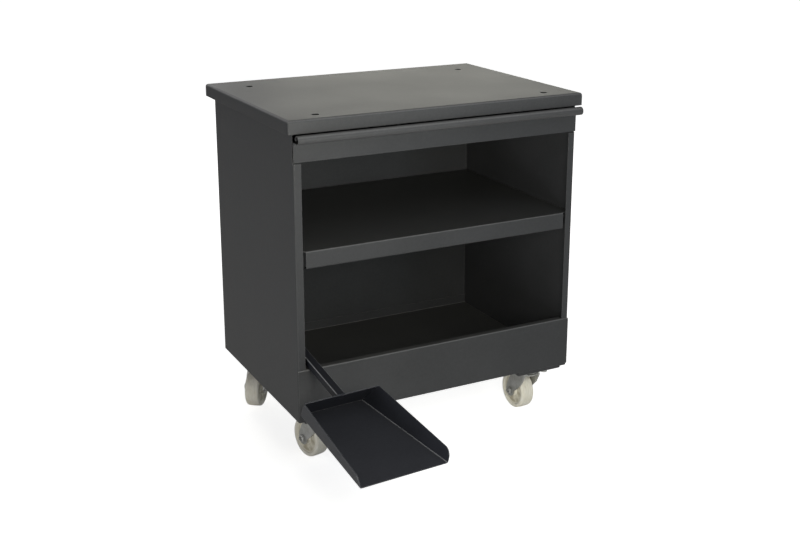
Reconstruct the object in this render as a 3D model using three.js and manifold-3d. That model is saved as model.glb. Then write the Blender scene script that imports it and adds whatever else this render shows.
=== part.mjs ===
// A sheet steel stand on four swivel casters: a flat top with four corner holes, a shallow drawer
// under it, an open compartment over a deep bin, and a scoop shovel whose handle lies over the
// bin's front. Millimetres, +Z up, the front faces -Y.
import * as THREE from 'three';
import { ConvexGeometry } from 'three/addons/geometries/ConvexGeometry.js';
import { mergeVertices } from 'three/addons/utils/BufferGeometryUtils.js';
import Module from 'manifold-3d';

const wasm = await Module();
wasm.setup();

// Whole stand
const BODY_WIDTH = 600;
const BODY_DEPTH = 415;
const STAND_HEIGHT = 684;
const SHEET = 1.5; // thickness of the body's sheet
const BEND = 2.5; // radius of a fold, at the middle of the sheet
const FIT = 0.3; // gap where one piece seats on another

// Top panel, a shallow lid with a hole near each corner
const TOP_SHEET = 2;
const TOP_SKIRT = 25;
const TOP_SIDE_OVERHANG = 11;
const TOP_FRONT_OVERHANG = 6;
const TOP_BACK_OVERHANG = 23;
const TOP_EDGE_RADIUS = 4;
const TOP_CORNER = 5;
const TOP_HOLE_DIAMETER = 14;
const TOP_HOLE_SIDE_INSET = 68;
const TOP_HOLE_FRONT_INSET = 36;
const TOP_HOLE_BACK_INSET = 75;

// Frame under the top: two full ties, and two rails between them
const TIE_DEPTH = 13; // the front tie stops ahead of the top's front holes
const TIE_DROP = 18;
const FRONT_TIE_SETBACK = 8;
const TOP_RAIL_LEG = 18;

// Carcass
const FLANGE = 15; // folded front and back edges of a side panel
const SIDE_DROP = 4.5; // how far the side panels hang below the floor
const FLOOR_UPSTAND = 20;
const SKIRT_HEIGHT = 100;
const SKIRT_RETURN = 14;
const SKIRT_HEM = 8;
const SHELF_ABOVE_FLOOR = 325;
const SHELF_LIP = 33.5;
const SHELF_LIP_RETURN = 10;
const SHELF_LIP_END_GAP = 6;
const SHELF_BACK_LIP = 15;
const BRACKET_LEG = 16;
const BRACKET_END_GAP = 25;

// Drawer
const DRAWER_OPENING = 79.5; // from the top's upper face down to the side flanges' ends
const DRAWER_FACE_GAP = 3; // slot under the drawer's face
const DRAWER_FACE_INSET = 0.5; // from a side of the body to the end of the face
const DRAWER_SHEET = 1.2;
const DRAWER_SIDE_GAP = 13;
const DRAWER_BASE_GAP = 6; // from the side flanges' ends up to the tray and its rails
const DRAWER_TRAY_HEIGHT = 34;
const DRAWER_BACK_GAP = 23;
const PULL_DIAMETER = 16; // rolled pull along the face's top edge
const PULL_REACH = 18; // from the body's front to the roll's centre
const PULL_BELOW_TOP = 8; // from the top's skirt down to the roll's centre
const PULL_SWEEP = 285; // degrees
const RAIL_SHEET = 1.5;
const DRAWER_RAIL_HEIGHT = 30;
const DRAWER_RAIL_DEPTH = 10;
const DRAWER_RAIL_END_GAP = 6;
const SLIDE_HEIGHT = 22;
const SLIDE_LENGTH = 380;
const SLIDE_WEB_GAP = 1.5; // from the slide's edges to the rail's back

// Caster rails, shallow troughs under the floor
const CASTER_RAIL_WIDTH = 104;
const CASTER_RAIL_HEIGHT = 10;
const CASTER_RAIL_SHEET = 2;

// Casters
const CASTER_HEIGHT = 105;
const CASTER_SIDE_INSET = 64; // from a side of the body to the swivel axis
const CASTER_END_INSET = 46; // from the body's front or back to the swivel axis
const CASTER_TRAIL = 34; // from the swivel axis back to the axle
const PLATE_SIZE = 66;
const PLATE_THICKNESS = 3;
const PLATE_CORNER = 6;
const RACE_HEIGHT = 9;
const RACE_DIAMETER = 46;
const RACE_WAIST = 2; // depth of the groove round the race
const KINGPIN_DIAMETER = 12;
const KINGPIN_HEAD_DIAMETER = 20;
const KINGPIN_HEAD = 4;
const KINGPIN_TAPER = 2;
const FORK_SHEET = 3;
const FORK_CROWN_DIAMETER = 50;
const FORK_LEG_FRONT = 16; // the leg's top edge, ahead of and behind the swivel axis
const FORK_LEG_BACK = 22;
const FORK_BOSS_RADIUS = 13;
const AXLE_DIAMETER = 10;
const AXLE_HEAD = 5;
const AXLE_HEAD_DIAMETER = 16;
const WHEEL_DIAMETER = 80;
const WHEEL_WIDTH = 30;
const WHEEL_SHOULDER = 5; // rounding where the tread meets the sides
const WHEEL_RIM = 8; // solid depth under the tread
const WHEEL_DISH = 4; // depth of the hollow between rim and hub
const HUB_DIAMETER = 26;
const HUB_WIDTH = 34;
const WHEEL_DRAFT = 1.5; // slope of the dish's walls
const WHEEL_SIDES = 32;

// Shovel
const SHOVEL_FROM_SIDE = 28.7; // from the body's left side to the handle, over the skirt
const SHOVEL_YAW = 3.6; // degrees, the pan's front swung to the right
const HANDLE_RISE = 12; // degrees, towards the tail
const PAN_DIP = 4; // degrees, the floor's fall towards its front
const HANDLE_SIZE = 16;
const HANDLE_WALL = 1.5;
const HANDLE_CORNER = 2.5;
const HANDLE_TAIL = 212; // from the skirt's edge back to the open end
const PLUG_FACE = 3;
const PLUG_SPIGOT = 12;
const PAN_SHEET = 1.5;
const PAN_REACH = 114; // from the skirt's edge forward to the pan's back rim
const PAN_RIM_RISE = 1; // the rim stands this far above the handle
const PAN_LENGTH = 257;
const PAN_BACK_WIDTH = 125.5;
const PAN_FRONT_WIDTH = 167.5;
const PAN_BACK_HEIGHT = 44.5;
const PAN_BACK_LEAN = 39; // the back wall's rim overhangs the floor by this much
const PAN_FRONT_HEIGHT = 24.5;
const PAN_CORNER = 16; // rounding at the front of each side wall
const PAN_FLARE = 12; // degrees, outwards

// Keeper, a bent strap on the left side panel that holds the shovel's handle down
const KEEPER_SETBACK = 150;
const KEEPER_LENGTH = 25;
const KEEPER_CLEARANCE = 0.6;
const KEEPER_LIP = 12;
const KEEPER_LEG = 30;
const KEEPER_SIDE_GAP = 3;

const ROUND_STEPS = 4; // facets in a quarter turn of a fold
const CURVE_STEPS = 5; // facets in each arc of an outline
const ROUND_SIDES = 16; // facets round a small pin or hole
const PAST = 1; // how far a cutter runs past the face that it opens
const RIGHT_ANGLE = Math.PI / 2;
const rad = THREE.MathUtils.degToRad;

// Heights, from the floor up
const railBottom = CASTER_HEIGHT + FIT;
const railTop = railBottom + CASTER_RAIL_HEIGHT;
const floorBottom = railTop + FIT;
const floorTop = floorBottom + SHEET;
const sideBottom = floorBottom - SIDE_DROP;
const skirtTop = floorBottom + SKIRT_HEIGHT;
const shelfTop = floorTop + SHELF_ABOVE_FLOOR;
const flangeTop = STAND_HEIGHT - DRAWER_OPENING;
const drawerBottom = flangeTop + DRAWER_BASE_GAP;
const topSkirtBottom = STAND_HEIGHT - TOP_SKIRT;
const topUnder = STAND_HEIGHT - TOP_SHEET;
const sideTop = topUnder - FIT;

// Faces that other pieces line up with
const half = BODY_WIDTH / 2;
const inside = half - SHEET;
const seat = inside - FIT;
const foldOuter = BEND + SHEET / 2;
const foldClear = foldOuter + FIT;
const backInner = BODY_DEPTH - SHEET - FIT - SHEET;
const facePlane = -FIT - SHEET / 2; // middle of the sheets that lie on the side flanges
const pivotX = half - CASTER_SIDE_INSET;

// Finishes
const finish = (color, roughness, metalness) => () =>
  new THREE.MeshStandardMaterial({ color, roughness, metalness });
const blackPaint = finish(0x3b3c3d, 0.5, 0.1);
const shovelPaint = finish(0x26272a, 0.42, 0.1);
const zinc = finish(0x9a9b98, 0.4, 0.9);
const nylon = finish(0xd2cdb8, 0.5, 0);
const blackPlastic = finish(0x1b1b1c, 0.55, 0);

// A closed geometry as a solid that can be joined and cut.
function toSolid(geometry) {
  const bare = new THREE.BufferGeometry();
  bare.setAttribute('position', geometry.getAttribute('position'));
  bare.setIndex(geometry.index);
  const merged = mergeVertices(bare);
  const triVerts = new Uint32Array(merged.index.array);
  const vertProperties = merged.getAttribute('position').array;
  return new wasm.Manifold(new wasm.Mesh({ numProp: 3, vertProperties, triVerts }));
}

// The solid's surface as flat-shaded triangles.
function toGeometry(solid) {
  const { vertProperties, triVerts } = solid.getMesh();
  const geometry = new THREE.BufferGeometry();
  geometry.setAttribute('position', new THREE.BufferAttribute(vertProperties, 3));
  geometry.setIndex(new THREE.BufferAttribute(triVerts, 1));
  const flat = geometry.toNonIndexed();
  flat.computeVertexNormals();
  return flat;
}

function cut(body, ...tools) {
  return toGeometry(tools.reduce((left, tool) => left.subtract(toSolid(tool)), toSolid(body)));
}

function join(body, ...others) {
  return toGeometry(others.reduce((sum, other) => sum.add(toSolid(other)), toSolid(body)));
}

function overlap(body, other) {
  return toGeometry(toSolid(body).intersect(toSolid(other)));
}

function box(x0, x1, y0, y1, z0, z1) {
  const geometry = new THREE.BoxGeometry(Math.abs(x1 - x0), y1 - y0, z1 - z0);
  return geometry.translate((x0 + x1) / 2, (y0 + y1) / 2, (z0 + z1) / 2);
}

function extrude(shape, depth) {
  const settings = { depth, bevelEnabled: false, curveSegments: CURVE_STEPS };
  return new THREE.ExtrudeGeometry(shape, settings);
}

const axisX = new THREE.Vector3(1, 0, 0);
const axisY = new THREE.Vector3(0, 1, 0);
const axisZ = new THREE.Vector3(0, 0, 1);

// A (y, z) outline run along X.
function alongX(shape, from, to) {
  const turn = new THREE.Matrix4().makeBasis(axisY, axisZ, axisX);
  return extrude(shape, to - from).translate(0, 0, from).applyMatrix4(turn);
}

// An (x, z) outline run along Y.
function alongY(shape, from, to) {
  const turn = new THREE.Matrix4().makeBasis(axisX, axisZ, axisY.clone().negate());
  return extrude(shape, to - from).translate(0, 0, -to).applyMatrix4(turn);
}

// An (x, y) outline run along Z.
function alongZ(shape, from, to) {
  return extrude(shape, to - from).translate(0, 0, from);
}

// An upright round bar, or a hole's cutter.
function rod(diameter, z0, z1, sides) {
  const geometry = new THREE.CylinderGeometry(diameter / 2, diameter / 2, z1 - z0, sides);
  return geometry.rotateX(RIGHT_ANGLE).translate(0, 0, (z0 + z1) / 2);
}

// A line through the corners, with each fold rounded to the radius.
function foldLine(corners, radius = BEND) {
  const points = corners.map(([u, v]) => new THREE.Vector2(u, v));
  const line = [points[0]];
  for (let i = 1; i < points.length - 1; i += 1) {
    const back = points[i - 1].clone().sub(points[i]).normalize();
    const ahead = points[i + 1].clone().sub(points[i]).normalize();
    const halfAngle = Math.acos(back.dot(ahead)) / 2;
    const bisector = back.clone().add(ahead).normalize();
    const centre = bisector.multiplyScalar(radius / Math.sin(halfAngle)).add(points[i]);
    const start = back.clone().multiplyScalar(radius / Math.tan(halfAngle)).add(points[i]);
    const turn = (Math.PI - 2 * halfAngle) * Math.sign(ahead.cross(back));
    for (let k = 0; k <= ROUND_STEPS; k += 1) {
      line.push(start.clone().rotateAround(centre, (turn * k) / ROUND_STEPS));
    }
  }
  line.push(points.at(-1));
  return line;
}

// The outline of a sheet of the given thickness that follows a line.
function sheetShape(line, thickness) {
  const normals = line.slice(1).map((point, i) => {
    const along = point.clone().sub(line[i]).normalize();
    return new THREE.Vector2(-along.y, along.x);
  });
  const offset = line.map((point, i) => {
    const before = normals[Math.max(i - 1, 0)];
    const after = normals[Math.min(i, normals.length - 1)];
    const mitre = before.clone().add(after).normalize();
    return mitre.multiplyScalar(thickness / 2 / mitre.dot(before));
  });
  const left = line.map((point, i) => point.clone().add(offset[i]));
  const right = line.map((point, i) => point.clone().sub(offset[i]));
  return new THREE.Shape([...left, ...right.reverse()]);
}

const folded = (corners, thickness = SHEET) => sheetShape(foldLine(corners), thickness);

// A rectangle with round corners.
function roundedRect(x0, x1, y0, y1, radius) {
  const shape = new THREE.Shape();
  shape.absarc(x1 - radius, y0 + radius, radius, -RIGHT_ANGLE, 0);
  shape.absarc(x1 - radius, y1 - radius, radius, 0, RIGHT_ANGLE);
  shape.absarc(x0 + radius, y1 - radius, radius, RIGHT_ANGLE, Math.PI);
  shape.absarc(x0 + radius, y0 + radius, radius, Math.PI, 3 * RIGHT_ANGLE);
  return shape;
}

function outline(points) {
  return new THREE.Shape(points.map(([u, v]) => new THREE.Vector2(u, v)));
}

function piece(parent, name, geometry, material) {
  const mesh = new THREE.Mesh(geometry, material());
  mesh.name = name;
  parent.add(mesh);
  return mesh;
}

const stand = new THREE.Group();
const model = new THREE.Group();
stand.add(model);
const SIDES = [['left', -1], ['right', 1]];

// Side panel: one sheet with a flange folded in at the front and the back. The front flange stops
// under the drawer.
function sidePanel(sign) {
  const wall = sign * (half - SHEET / 2);
  const edge = sign * (half - FLANGE);
  const front = SHEET / 2;
  const back = BODY_DEPTH - SHEET / 2;
  const section = folded([[edge, back], [wall, back], [wall, front], [edge, front]]);
  const panel = alongZ(section, sideBottom, sideTop);
  const [near, far] = [edge - sign * PAST, sign * (half + PAST)];
  const drawerCut = box(near, far, -PAST, foldOuter, flangeTop, sideTop + PAST);
  return cut(panel, drawerCut);
}

function backPanel() {
  const edge = inside - foldOuter;
  return box(-edge, edge, backInner, backInner + SHEET, floorBottom, sideTop);
}

// Floor of the bin, turned up at the front and the back.
function floorPan() {
  const level = floorBottom + SHEET / 2;
  const front = foldClear + SHEET / 2;
  const back = backInner - FIT - SHEET / 2;
  const rim = level + FLOOR_UPSTAND;
  return alongX(folded([[front, rim], [front, level], [back, level], [back, rim]]), -seat, seat);
}

// Front of the bin. It lies on the side flanges, and its top edge is folded in and hemmed.
function frontSkirt() {
  const level = skirtTop - SHEET / 2;
  const inner = facePlane + SKIRT_RETURN;
  const section = folded([
    [facePlane, floorBottom],
    [facePlane, level],
    [inner, level],
    [inner, level - SKIRT_HEM],
  ]);
  const clear = half - FLANGE - FIT;
  const notch = (sign) =>
    box(sign * clear, sign * (half + PAST), -FIT, inner + SHEET, floorBottom, skirtTop + PAST);
  return cut(alongX(section, -half, half), notch(-1), notch(1));
}

// Shelf with a deep front lip between the side flanges.
function middleShelf() {
  const level = shelfTop - SHEET / 2;
  const back = backInner - FIT - SHEET / 2;
  const front = SHEET / 2;
  const lipEnd = shelfTop - SHELF_LIP + SHEET / 2;
  const section = folded([
    [back, level - SHELF_BACK_LIP],
    [back, level],
    [front, level],
    [front, lipEnd],
    [front + SHELF_LIP_RETURN, lipEnd],
  ]);
  const clear = half - FLANGE - SHELF_LIP_END_GAP;
  const lipDepth = SHELF_LIP_RETURN + 2 * SHEET;
  const lipTop = shelfTop - SHEET - BEND;
  const notches = SIDES.flatMap(([, sign]) => [
    box(sign * clear, sign * half, -PAST, foldClear, lipEnd - SHEET, shelfTop + PAST),
    box(sign * clear, sign * half, -PAST, lipDepth, lipEnd - SHEET, lipTop),
  ]);
  return cut(alongX(section, -seat, seat), ...notches);
}

// Angle along a side panel, under the shelf.
function shelfBracket(sign) {
  const level = shelfTop - SHEET - FIT - SHEET / 2;
  const wall = sign * (seat - SHEET / 2);
  const edge = sign * (seat - BRACKET_LEG);
  const section = folded([[wall, level - BRACKET_LEG], [wall, level], [edge, level]]);
  return alongY(section, BRACKET_END_GAP, backInner - BRACKET_END_GAP);
}

// Top: a lid with rounded edges, hollow underneath, and a hole near each corner.
function topPanel() {
  const side = half + TOP_SIDE_OVERHANG;
  const front = -TOP_FRONT_OVERHANG;
  const back = BODY_DEPTH + TOP_BACK_OVERHANG;
  const inset = TOP_EDGE_RADIUS;
  const corner = TOP_CORNER - TOP_EDGE_RADIUS;
  const core = roundedRect(inset - side, side - inset, front + inset, back - inset, corner);
  const blank = new THREE.ExtrudeGeometry(core, {
    depth: TOP_SKIRT,
    bevelSize: TOP_EDGE_RADIUS,
    bevelThickness: TOP_EDGE_RADIUS,
    bevelSegments: ROUND_STEPS - 1,
    curveSegments: ROUND_STEPS,
  });
  blank.translate(0, 0, topSkirtBottom - TOP_EDGE_RADIUS);
  const [low, high] = [topSkirtBottom - TOP_SKIRT, topSkirtBottom];
  const trim = box(-side - PAST, side + PAST, front - PAST, back + PAST, low, high);
  const hollow = box(
    TOP_SHEET - side,
    side - TOP_SHEET,
    front + TOP_SHEET,
    back - TOP_SHEET,
    topSkirtBottom - PAST,
    topUnder,
  );
  const holeX = side - TOP_HOLE_SIDE_INSET;
  const hole = rod(TOP_HOLE_DIAMETER, topUnder - PAST, STAND_HEIGHT + PAST, ROUND_SIDES);
  const holes = [front + TOP_HOLE_FRONT_INSET, back - TOP_HOLE_BACK_INSET].flatMap((y) =>
    [-holeX, holeX].map((x) => hole.clone().translate(x, y, 0)),
  );
  return cut(blank, trim, hollow, ...holes);
}

// Tie across the body under the top; its upright leg is at the outer end.
function topTie(outer, inner) {
  const level = sideTop - SHEET / 2;
  return alongX(folded([[outer, level - TIE_DROP], [outer, level], [inner, level]]), -seat, seat);
}

// Angle along a side panel, between the ties.
function topRail(sign, front, back) {
  const level = sideTop - SHEET / 2;
  const wall = sign * (seat - SHEET / 2);
  const edge = sign * (seat - TOP_RAIL_LEG);
  const section = folded([[wall, level - TOP_RAIL_LEG], [wall, level], [edge, level]]);
  return alongY(section, front, back);
}

// Trough that carries two casters, open at the top under the floor.
function casterRail(x) {
  const side = CASTER_RAIL_WIDTH / 2;
  const front = SHEET + FIT;
  const back = BODY_DEPTH - SHEET - FIT;
  const wall = CASTER_RAIL_SHEET;
  const block = box(x - side, x + side, front, back, railBottom, railTop);
  const hollow = box(
    x - side + wall,
    x + side - wall,
    front + wall,
    back - wall,
    railBottom + wall,
    railTop + PAST,
  );
  return cut(block, hollow);
}

// Fixed channel on a side panel, open towards the drawer.
function drawerRail(sign) {
  const web = sign * (seat - RAIL_SHEET / 2);
  const lip = sign * (seat - DRAWER_RAIL_DEPTH);
  const low = drawerBottom + RAIL_SHEET / 2;
  const high = drawerBottom + DRAWER_RAIL_HEIGHT - RAIL_SHEET / 2;
  const section = folded([[lip, low], [web, low], [web, high], [lip, high]], RAIL_SHEET);
  return alongY(section, DRAWER_RAIL_END_GAP, backInner - DRAWER_RAIL_END_GAP);
}

const trayHalf = inside - DRAWER_SIDE_GAP;

// Channel on the tray's side that runs inside the fixed one.
function drawerSlide(sign) {
  const web = sign * (trayHalf + FIT + RAIL_SHEET / 2);
  const lip = sign * (seat - RAIL_SHEET - SLIDE_WEB_GAP);
  const low = drawerBottom + RAIL_SHEET + FIT + RAIL_SHEET / 2;
  const high = low + SLIDE_HEIGHT - RAIL_SHEET;
  const section = folded([[lip, low], [web, low], [web, high], [lip, high]], RAIL_SHEET);
  return alongY(section, DRAWER_RAIL_END_GAP, DRAWER_RAIL_END_GAP + SLIDE_LENGTH);
}

function drawerTray() {
  const back = backInner - DRAWER_BACK_GAP;
  const high = drawerBottom + DRAWER_TRAY_HEIGHT;
  const wall = DRAWER_SHEET;
  const block = box(-trayHalf, trayHalf, 0, back, drawerBottom, high);
  const hollow = box(
    wall - trayHalf,
    trayHalf - wall,
    wall,
    back - wall,
    drawerBottom + wall,
    high + PAST,
  );
  return cut(block, hollow);
}

// Drawer face, folded forward at its top edge and rolled into a pull.
function drawerFront() {
  const roll = (PULL_DIAMETER - SHEET) / 2;
  const rollZ = topSkirtBottom - PULL_BELOW_TOP;
  const shelf = rollZ - roll;
  const line = foldLine([
    [facePlane, flangeTop + DRAWER_FACE_GAP],
    [facePlane, shelf],
    [-PULL_REACH, shelf],
  ]);
  const steps = Math.round((PULL_SWEEP / 90) * ROUND_STEPS);
  const centre = new THREE.Vector2(-PULL_REACH, rollZ);
  const start = line.at(-1);
  for (let k = 1; k <= steps; k += 1) {
    line.push(start.clone().rotateAround(centre, (-rad(PULL_SWEEP) * k) / steps));
  }
  const side = half - DRAWER_FACE_INSET;
  return alongX(sheetShape(line, SHEET), -side, side);
}

// Sub-assembly: carcass
for (const [name, sign] of SIDES) {
  piece(model, `side_panel_${name}`, sidePanel(sign), blackPaint);
}
piece(model, 'back_panel', backPanel(), blackPaint);
piece(model, 'floor_pan', floorPan(), blackPaint);
piece(model, 'front_skirt', frontSkirt(), blackPaint);
piece(model, 'middle_shelf', middleShelf(), blackPaint);
for (const [name, sign] of SIDES) {
  piece(model, `shelf_bracket_${name}`, shelfBracket(sign), blackPaint);
  piece(model, `caster_rail_${name}`, casterRail(sign * pivotX), blackPaint);
}

// Sub-assembly: top and its frame
const frontTie = FRONT_TIE_SETBACK + SHEET / 2;
const rearTie = backInner - FIT - SHEET / 2;
piece(model, 'top_panel', topPanel(), blackPaint);
piece(model, 'top_tie_front', topTie(frontTie, frontTie + TIE_DEPTH), blackPaint);
piece(model, 'top_tie_rear', topTie(rearTie, rearTie - TIE_DEPTH), blackPaint);
for (const [name, sign] of SIDES) {
  const rail = topRail(sign, frontTie + TIE_DEPTH + FIT, rearTie - TIE_DEPTH - FIT);
  piece(model, `top_rail_${name}`, rail, blackPaint);
}

// Sub-assembly: drawer
for (const [name, sign] of SIDES) {
  piece(model, `drawer_rail_${name}`, drawerRail(sign), zinc);
  piece(model, `drawer_slide_${name}`, drawerSlide(sign), zinc);
}
piece(model, 'drawer_tray', drawerTray(), blackPaint);
piece(model, 'drawer_front', drawerFront(), blackPaint);

// Sub-assembly: casters
const plateBottom = CASTER_HEIGHT - PLATE_THICKNESS;
const raceTop = plateBottom - FIT;
const raceBottom = raceTop - RACE_HEIGHT;
const crownTop = raceBottom - FIT;
const crownBottom = crownTop - FORK_SHEET;
const headTop = crownBottom - FIT;
const axleHeight = (WHEEL_DIAMETER / 2) * Math.cos(Math.PI / WHEEL_SIDES); // a flat facet is lowest
const legInner = HUB_WIDTH / 2 + FIT;
const legOuter = legInner + FORK_SHEET;
const pinHole = KINGPIN_DIAMETER + 2 * FIT;
const axleHole = AXLE_DIAMETER + 2 * FIT;

// A turned form from (radius, height) points, about the upright axis.
function turned(points, sides, start = 0) {
  const profile = points.map(([r, h]) => new THREE.Vector2(r, h));
  return new THREE.LatheGeometry(profile, sides, start).rotateX(RIGHT_ANGLE);
}

function casterPlate() {
  const side = PLATE_SIZE / 2;
  const square = roundedRect(-side, side, -side, side, PLATE_CORNER);
  const hole = rod(pinHole, plateBottom - PAST, CASTER_HEIGHT + PAST, ROUND_SIDES);
  return cut(alongZ(square, plateBottom, CASTER_HEIGHT), hole);
}

// Closed ball race between the plate and the fork.
function casterRace() {
  const inner = pinHole / 2;
  const outer = RACE_DIAMETER / 2;
  const waist = outer - RACE_WAIST;
  const middle = (raceTop + raceBottom) / 2;
  const profile = [
    [inner, raceBottom],
    [outer, raceBottom],
    [waist, middle],
    [outer, raceTop],
    [inner, raceTop],
    [inner, raceBottom],
  ];
  return turned(profile, ROUND_SIDES);
}

// Rivet that ties plate, race and fork together.
function kingpin() {
  const shank = KINGPIN_DIAMETER / 2;
  const head = KINGPIN_HEAD_DIAMETER / 2;
  const headBottom = headTop - KINGPIN_HEAD;
  const profile = [
    [0, headBottom],
    [head - KINGPIN_TAPER, headBottom],
    [head, headTop],
    [shank, headTop],
    [shank, CASTER_HEIGHT],
    [0, CASTER_HEIGHT],
  ];
  return turned(profile, ROUND_SIDES);
}

// Pressed fork: a round crown and two legs that taper to the axle.
function casterFork() {
  const leg = new THREE.Shape();
  leg.moveTo(-FORK_LEG_FRONT, crownTop);
  leg.lineTo(CASTER_TRAIL - FORK_BOSS_RADIUS, axleHeight);
  leg.absarc(CASTER_TRAIL, axleHeight, FORK_BOSS_RADIUS, Math.PI, 2 * Math.PI);
  leg.lineTo(FORK_LEG_BACK, crownTop);
  const bridge = box(-legOuter, legOuter, -FORK_LEG_FRONT, FORK_LEG_BACK, crownBottom, crownTop);
  const crown = rod(FORK_CROWN_DIAMETER, crownBottom, crownTop, WHEEL_SIDES);
  const legs = [alongX(leg, -legOuter, -legInner), alongX(leg, legInner, legOuter)];
  const upright = rod(pinHole, crownBottom - PAST, crownTop + PAST, ROUND_SIDES);
  const across = rod(axleHole, -legOuter - PAST, legOuter + PAST, ROUND_SIDES);
  across.rotateY(RIGHT_ANGLE).translate(0, CASTER_TRAIL, axleHeight);
  return cut(join(crown, bridge, ...legs), upright, across);
}

// Axle bolt with a hexagon at each end.
function axleBolt() {
  const end = legOuter + FIT;
  const shank = rod(AXLE_DIAMETER, -end - PAST, end + PAST, ROUND_SIDES);
  const head = rod(AXLE_HEAD_DIAMETER, end, end + AXLE_HEAD, 6);
  const nut = rod(AXLE_HEAD_DIAMETER, -end - AXLE_HEAD, -end, 6);
  return join(shank, head, nut).rotateY(RIGHT_ANGLE);
}

// Moulded wheel: round shoulders, a shallow dish on each side and a hub.
function casterWheel() {
  const radius = WHEEL_DIAMETER / 2;
  const edge = WHEEL_WIDTH / 2;
  const rim = radius - WHEEL_RIM;
  const hub = HUB_DIAMETER / 2;
  const bore = axleHole / 2;
  const hubEdge = HUB_WIDTH / 2;
  const web = edge - WHEEL_DISH;
  const bulge = WHEEL_SHOULDER * Math.SQRT1_2;
  const profile = [
    [bore, -hubEdge],
    [hub - WHEEL_DRAFT, -hubEdge],
    [hub, -web],
    [rim - WHEEL_DRAFT, -web],
    [rim, -edge],
    [radius - WHEEL_SHOULDER, -edge],
    [radius - WHEEL_SHOULDER + bulge, WHEEL_SHOULDER - bulge - edge],
    [radius, WHEEL_SHOULDER - edge],
  ];
  const mirrored = profile.map(([r, h]) => [r, -h]).reverse();
  const loop = [...profile, ...mirrored, profile[0]];
  return turned(loop, WHEEL_SIDES, Math.PI / WHEEL_SIDES).rotateY(RIGHT_ANGLE);
}

// Each caster: its place, and its swivel in degrees from trailing straight back.
const frontPivot = CASTER_END_INSET;
const rearPivot = BODY_DEPTH - CASTER_END_INSET;
const CASTERS = [
  ['front_left', -pivotX, frontPivot, 12],
  ['front_right', pivotX, frontPivot, 1],
  ['rear_left', -pivotX, rearPivot, 142],
  ['rear_right', pivotX, rearPivot, 200],
];
for (const [name, x, y, swivel] of CASTERS) {
  const fixed = new THREE.Group();
  fixed.position.set(x, y, 0);
  model.add(fixed);
  piece(fixed, `caster_plate_${name}`, casterPlate(), zinc);
  piece(fixed, `caster_race_${name}`, casterRace(), zinc);
  piece(fixed, `kingpin_${name}`, kingpin(), zinc);
  const turning = new THREE.Group();
  turning.rotation.z = rad(swivel);
  fixed.add(turning);
  piece(turning, `fork_${name}`, casterFork(), zinc);
  const axle = piece(turning, `axle_bolt_${name}`, axleBolt(), zinc);
  const wheel = piece(turning, `wheel_${name}`, casterWheel(), nylon);
  for (const rolling of [axle, wheel]) {
    rolling.position.set(0, CASTER_TRAIL, axleHeight);
  }
}

// Sub-assembly: shovel. Its frame starts where the handle's underside meets the skirt's round edge;
// +Y runs up the handle to its tail.
const rise = rad(HANDLE_RISE);
const edgeReach = foldOuter + FIT;
const shovel = new THREE.Group();
shovel.rotation.set(rise, 0, rad(SHOVEL_YAW), 'ZXY');
shovel.position.set(
  SHOVEL_FROM_SIDE - half,
  facePlane - SHEET / 2 + foldOuter - edgeReach * Math.sin(rise),
  skirtTop - foldOuter + edgeReach * Math.cos(rise),
);
model.add(shovel);

// The pan's frame starts at the middle of the fold between floor and back wall; -Y is forward.
const panTilt = rad(PAN_DIP) - rise;
const rimY = -PAN_BACK_LEAN * Math.cos(panTilt) - PAN_BACK_HEIGHT * Math.sin(panTilt);
const rimZ = PAN_BACK_HEIGHT * Math.cos(panTilt) - PAN_BACK_LEAN * Math.sin(panTilt);
const pan = new THREE.Group();
pan.rotation.x = panTilt;
pan.position.set(0, -PAN_REACH - rimY, HANDLE_SIZE + PAN_RIM_RISE - rimZ);
shovel.add(pan);

// A wedge-shaped trough whose walls flare outwards, wide enough for the pan at the given inset.
function panTrough(inset, low, high) {
  const slope = Math.tan(rad(PAN_FLARE));
  const taper = (PAN_FRONT_WIDTH - PAN_BACK_WIDTH) / 2 / PAN_LENGTH;
  const reach = PAN_LENGTH / 4;
  const points = [reach, -PAN_LENGTH - reach].flatMap((y) =>
    [low, high].flatMap((z) =>
      [-1, 1].map((sign) => {
        const x = PAN_BACK_WIDTH / 2 - taper * y + slope * z - inset;
        return new THREE.Vector3(sign * x, y, z);
      }),
    ),
  );
  return new ConvexGeometry(points);
}

// Shovel pan: floor, flared side walls with round front corners, and a back wall that overhangs.
function shovelPan() {
  const width = PAN_FRONT_WIDTH;
  const lean = Math.hypot(PAN_BACK_LEAN, PAN_BACK_HEIGHT);
  const wallY = (PAN_SHEET * lean) / PAN_BACK_HEIGHT; // the back wall's thickness along the floor
  const side = new THREE.Shape();
  side.moveTo(0, 0);
  side.lineTo(-PAN_BACK_LEAN, PAN_BACK_HEIGHT);
  side.lineTo(PAN_CORNER - PAN_LENGTH, PAN_FRONT_HEIGHT);
  side.absarc(PAN_CORNER - PAN_LENGTH, PAN_FRONT_HEIGHT - PAN_CORNER, PAN_CORNER, RIGHT_ANGLE, Math.PI);
  side.lineTo(-PAN_LENGTH, 0);
  const tall = 2 * PAN_BACK_HEIGHT;
  const beyond = 2 * PAN_LENGTH;
  const backAt = (z) => -wallY - (PAN_BACK_LEAN / PAN_BACK_HEIGHT) * z;
  const room = outline([
    [backAt(PAN_SHEET), PAN_SHEET],
    [-beyond, PAN_SHEET],
    [-beyond, tall],
    [backAt(tall), tall],
  ]);
  const outer = overlap(alongX(side, -width, width), panTrough(0, -PAN_SHEET, tall));
  const wallX = PAN_SHEET / Math.cos(rad(PAN_FLARE));
  const inner = overlap(alongX(room, -width, width), panTrough(wallX, -PAN_SHEET, 2 * tall));
  return cut(outer, inner);
}

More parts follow.
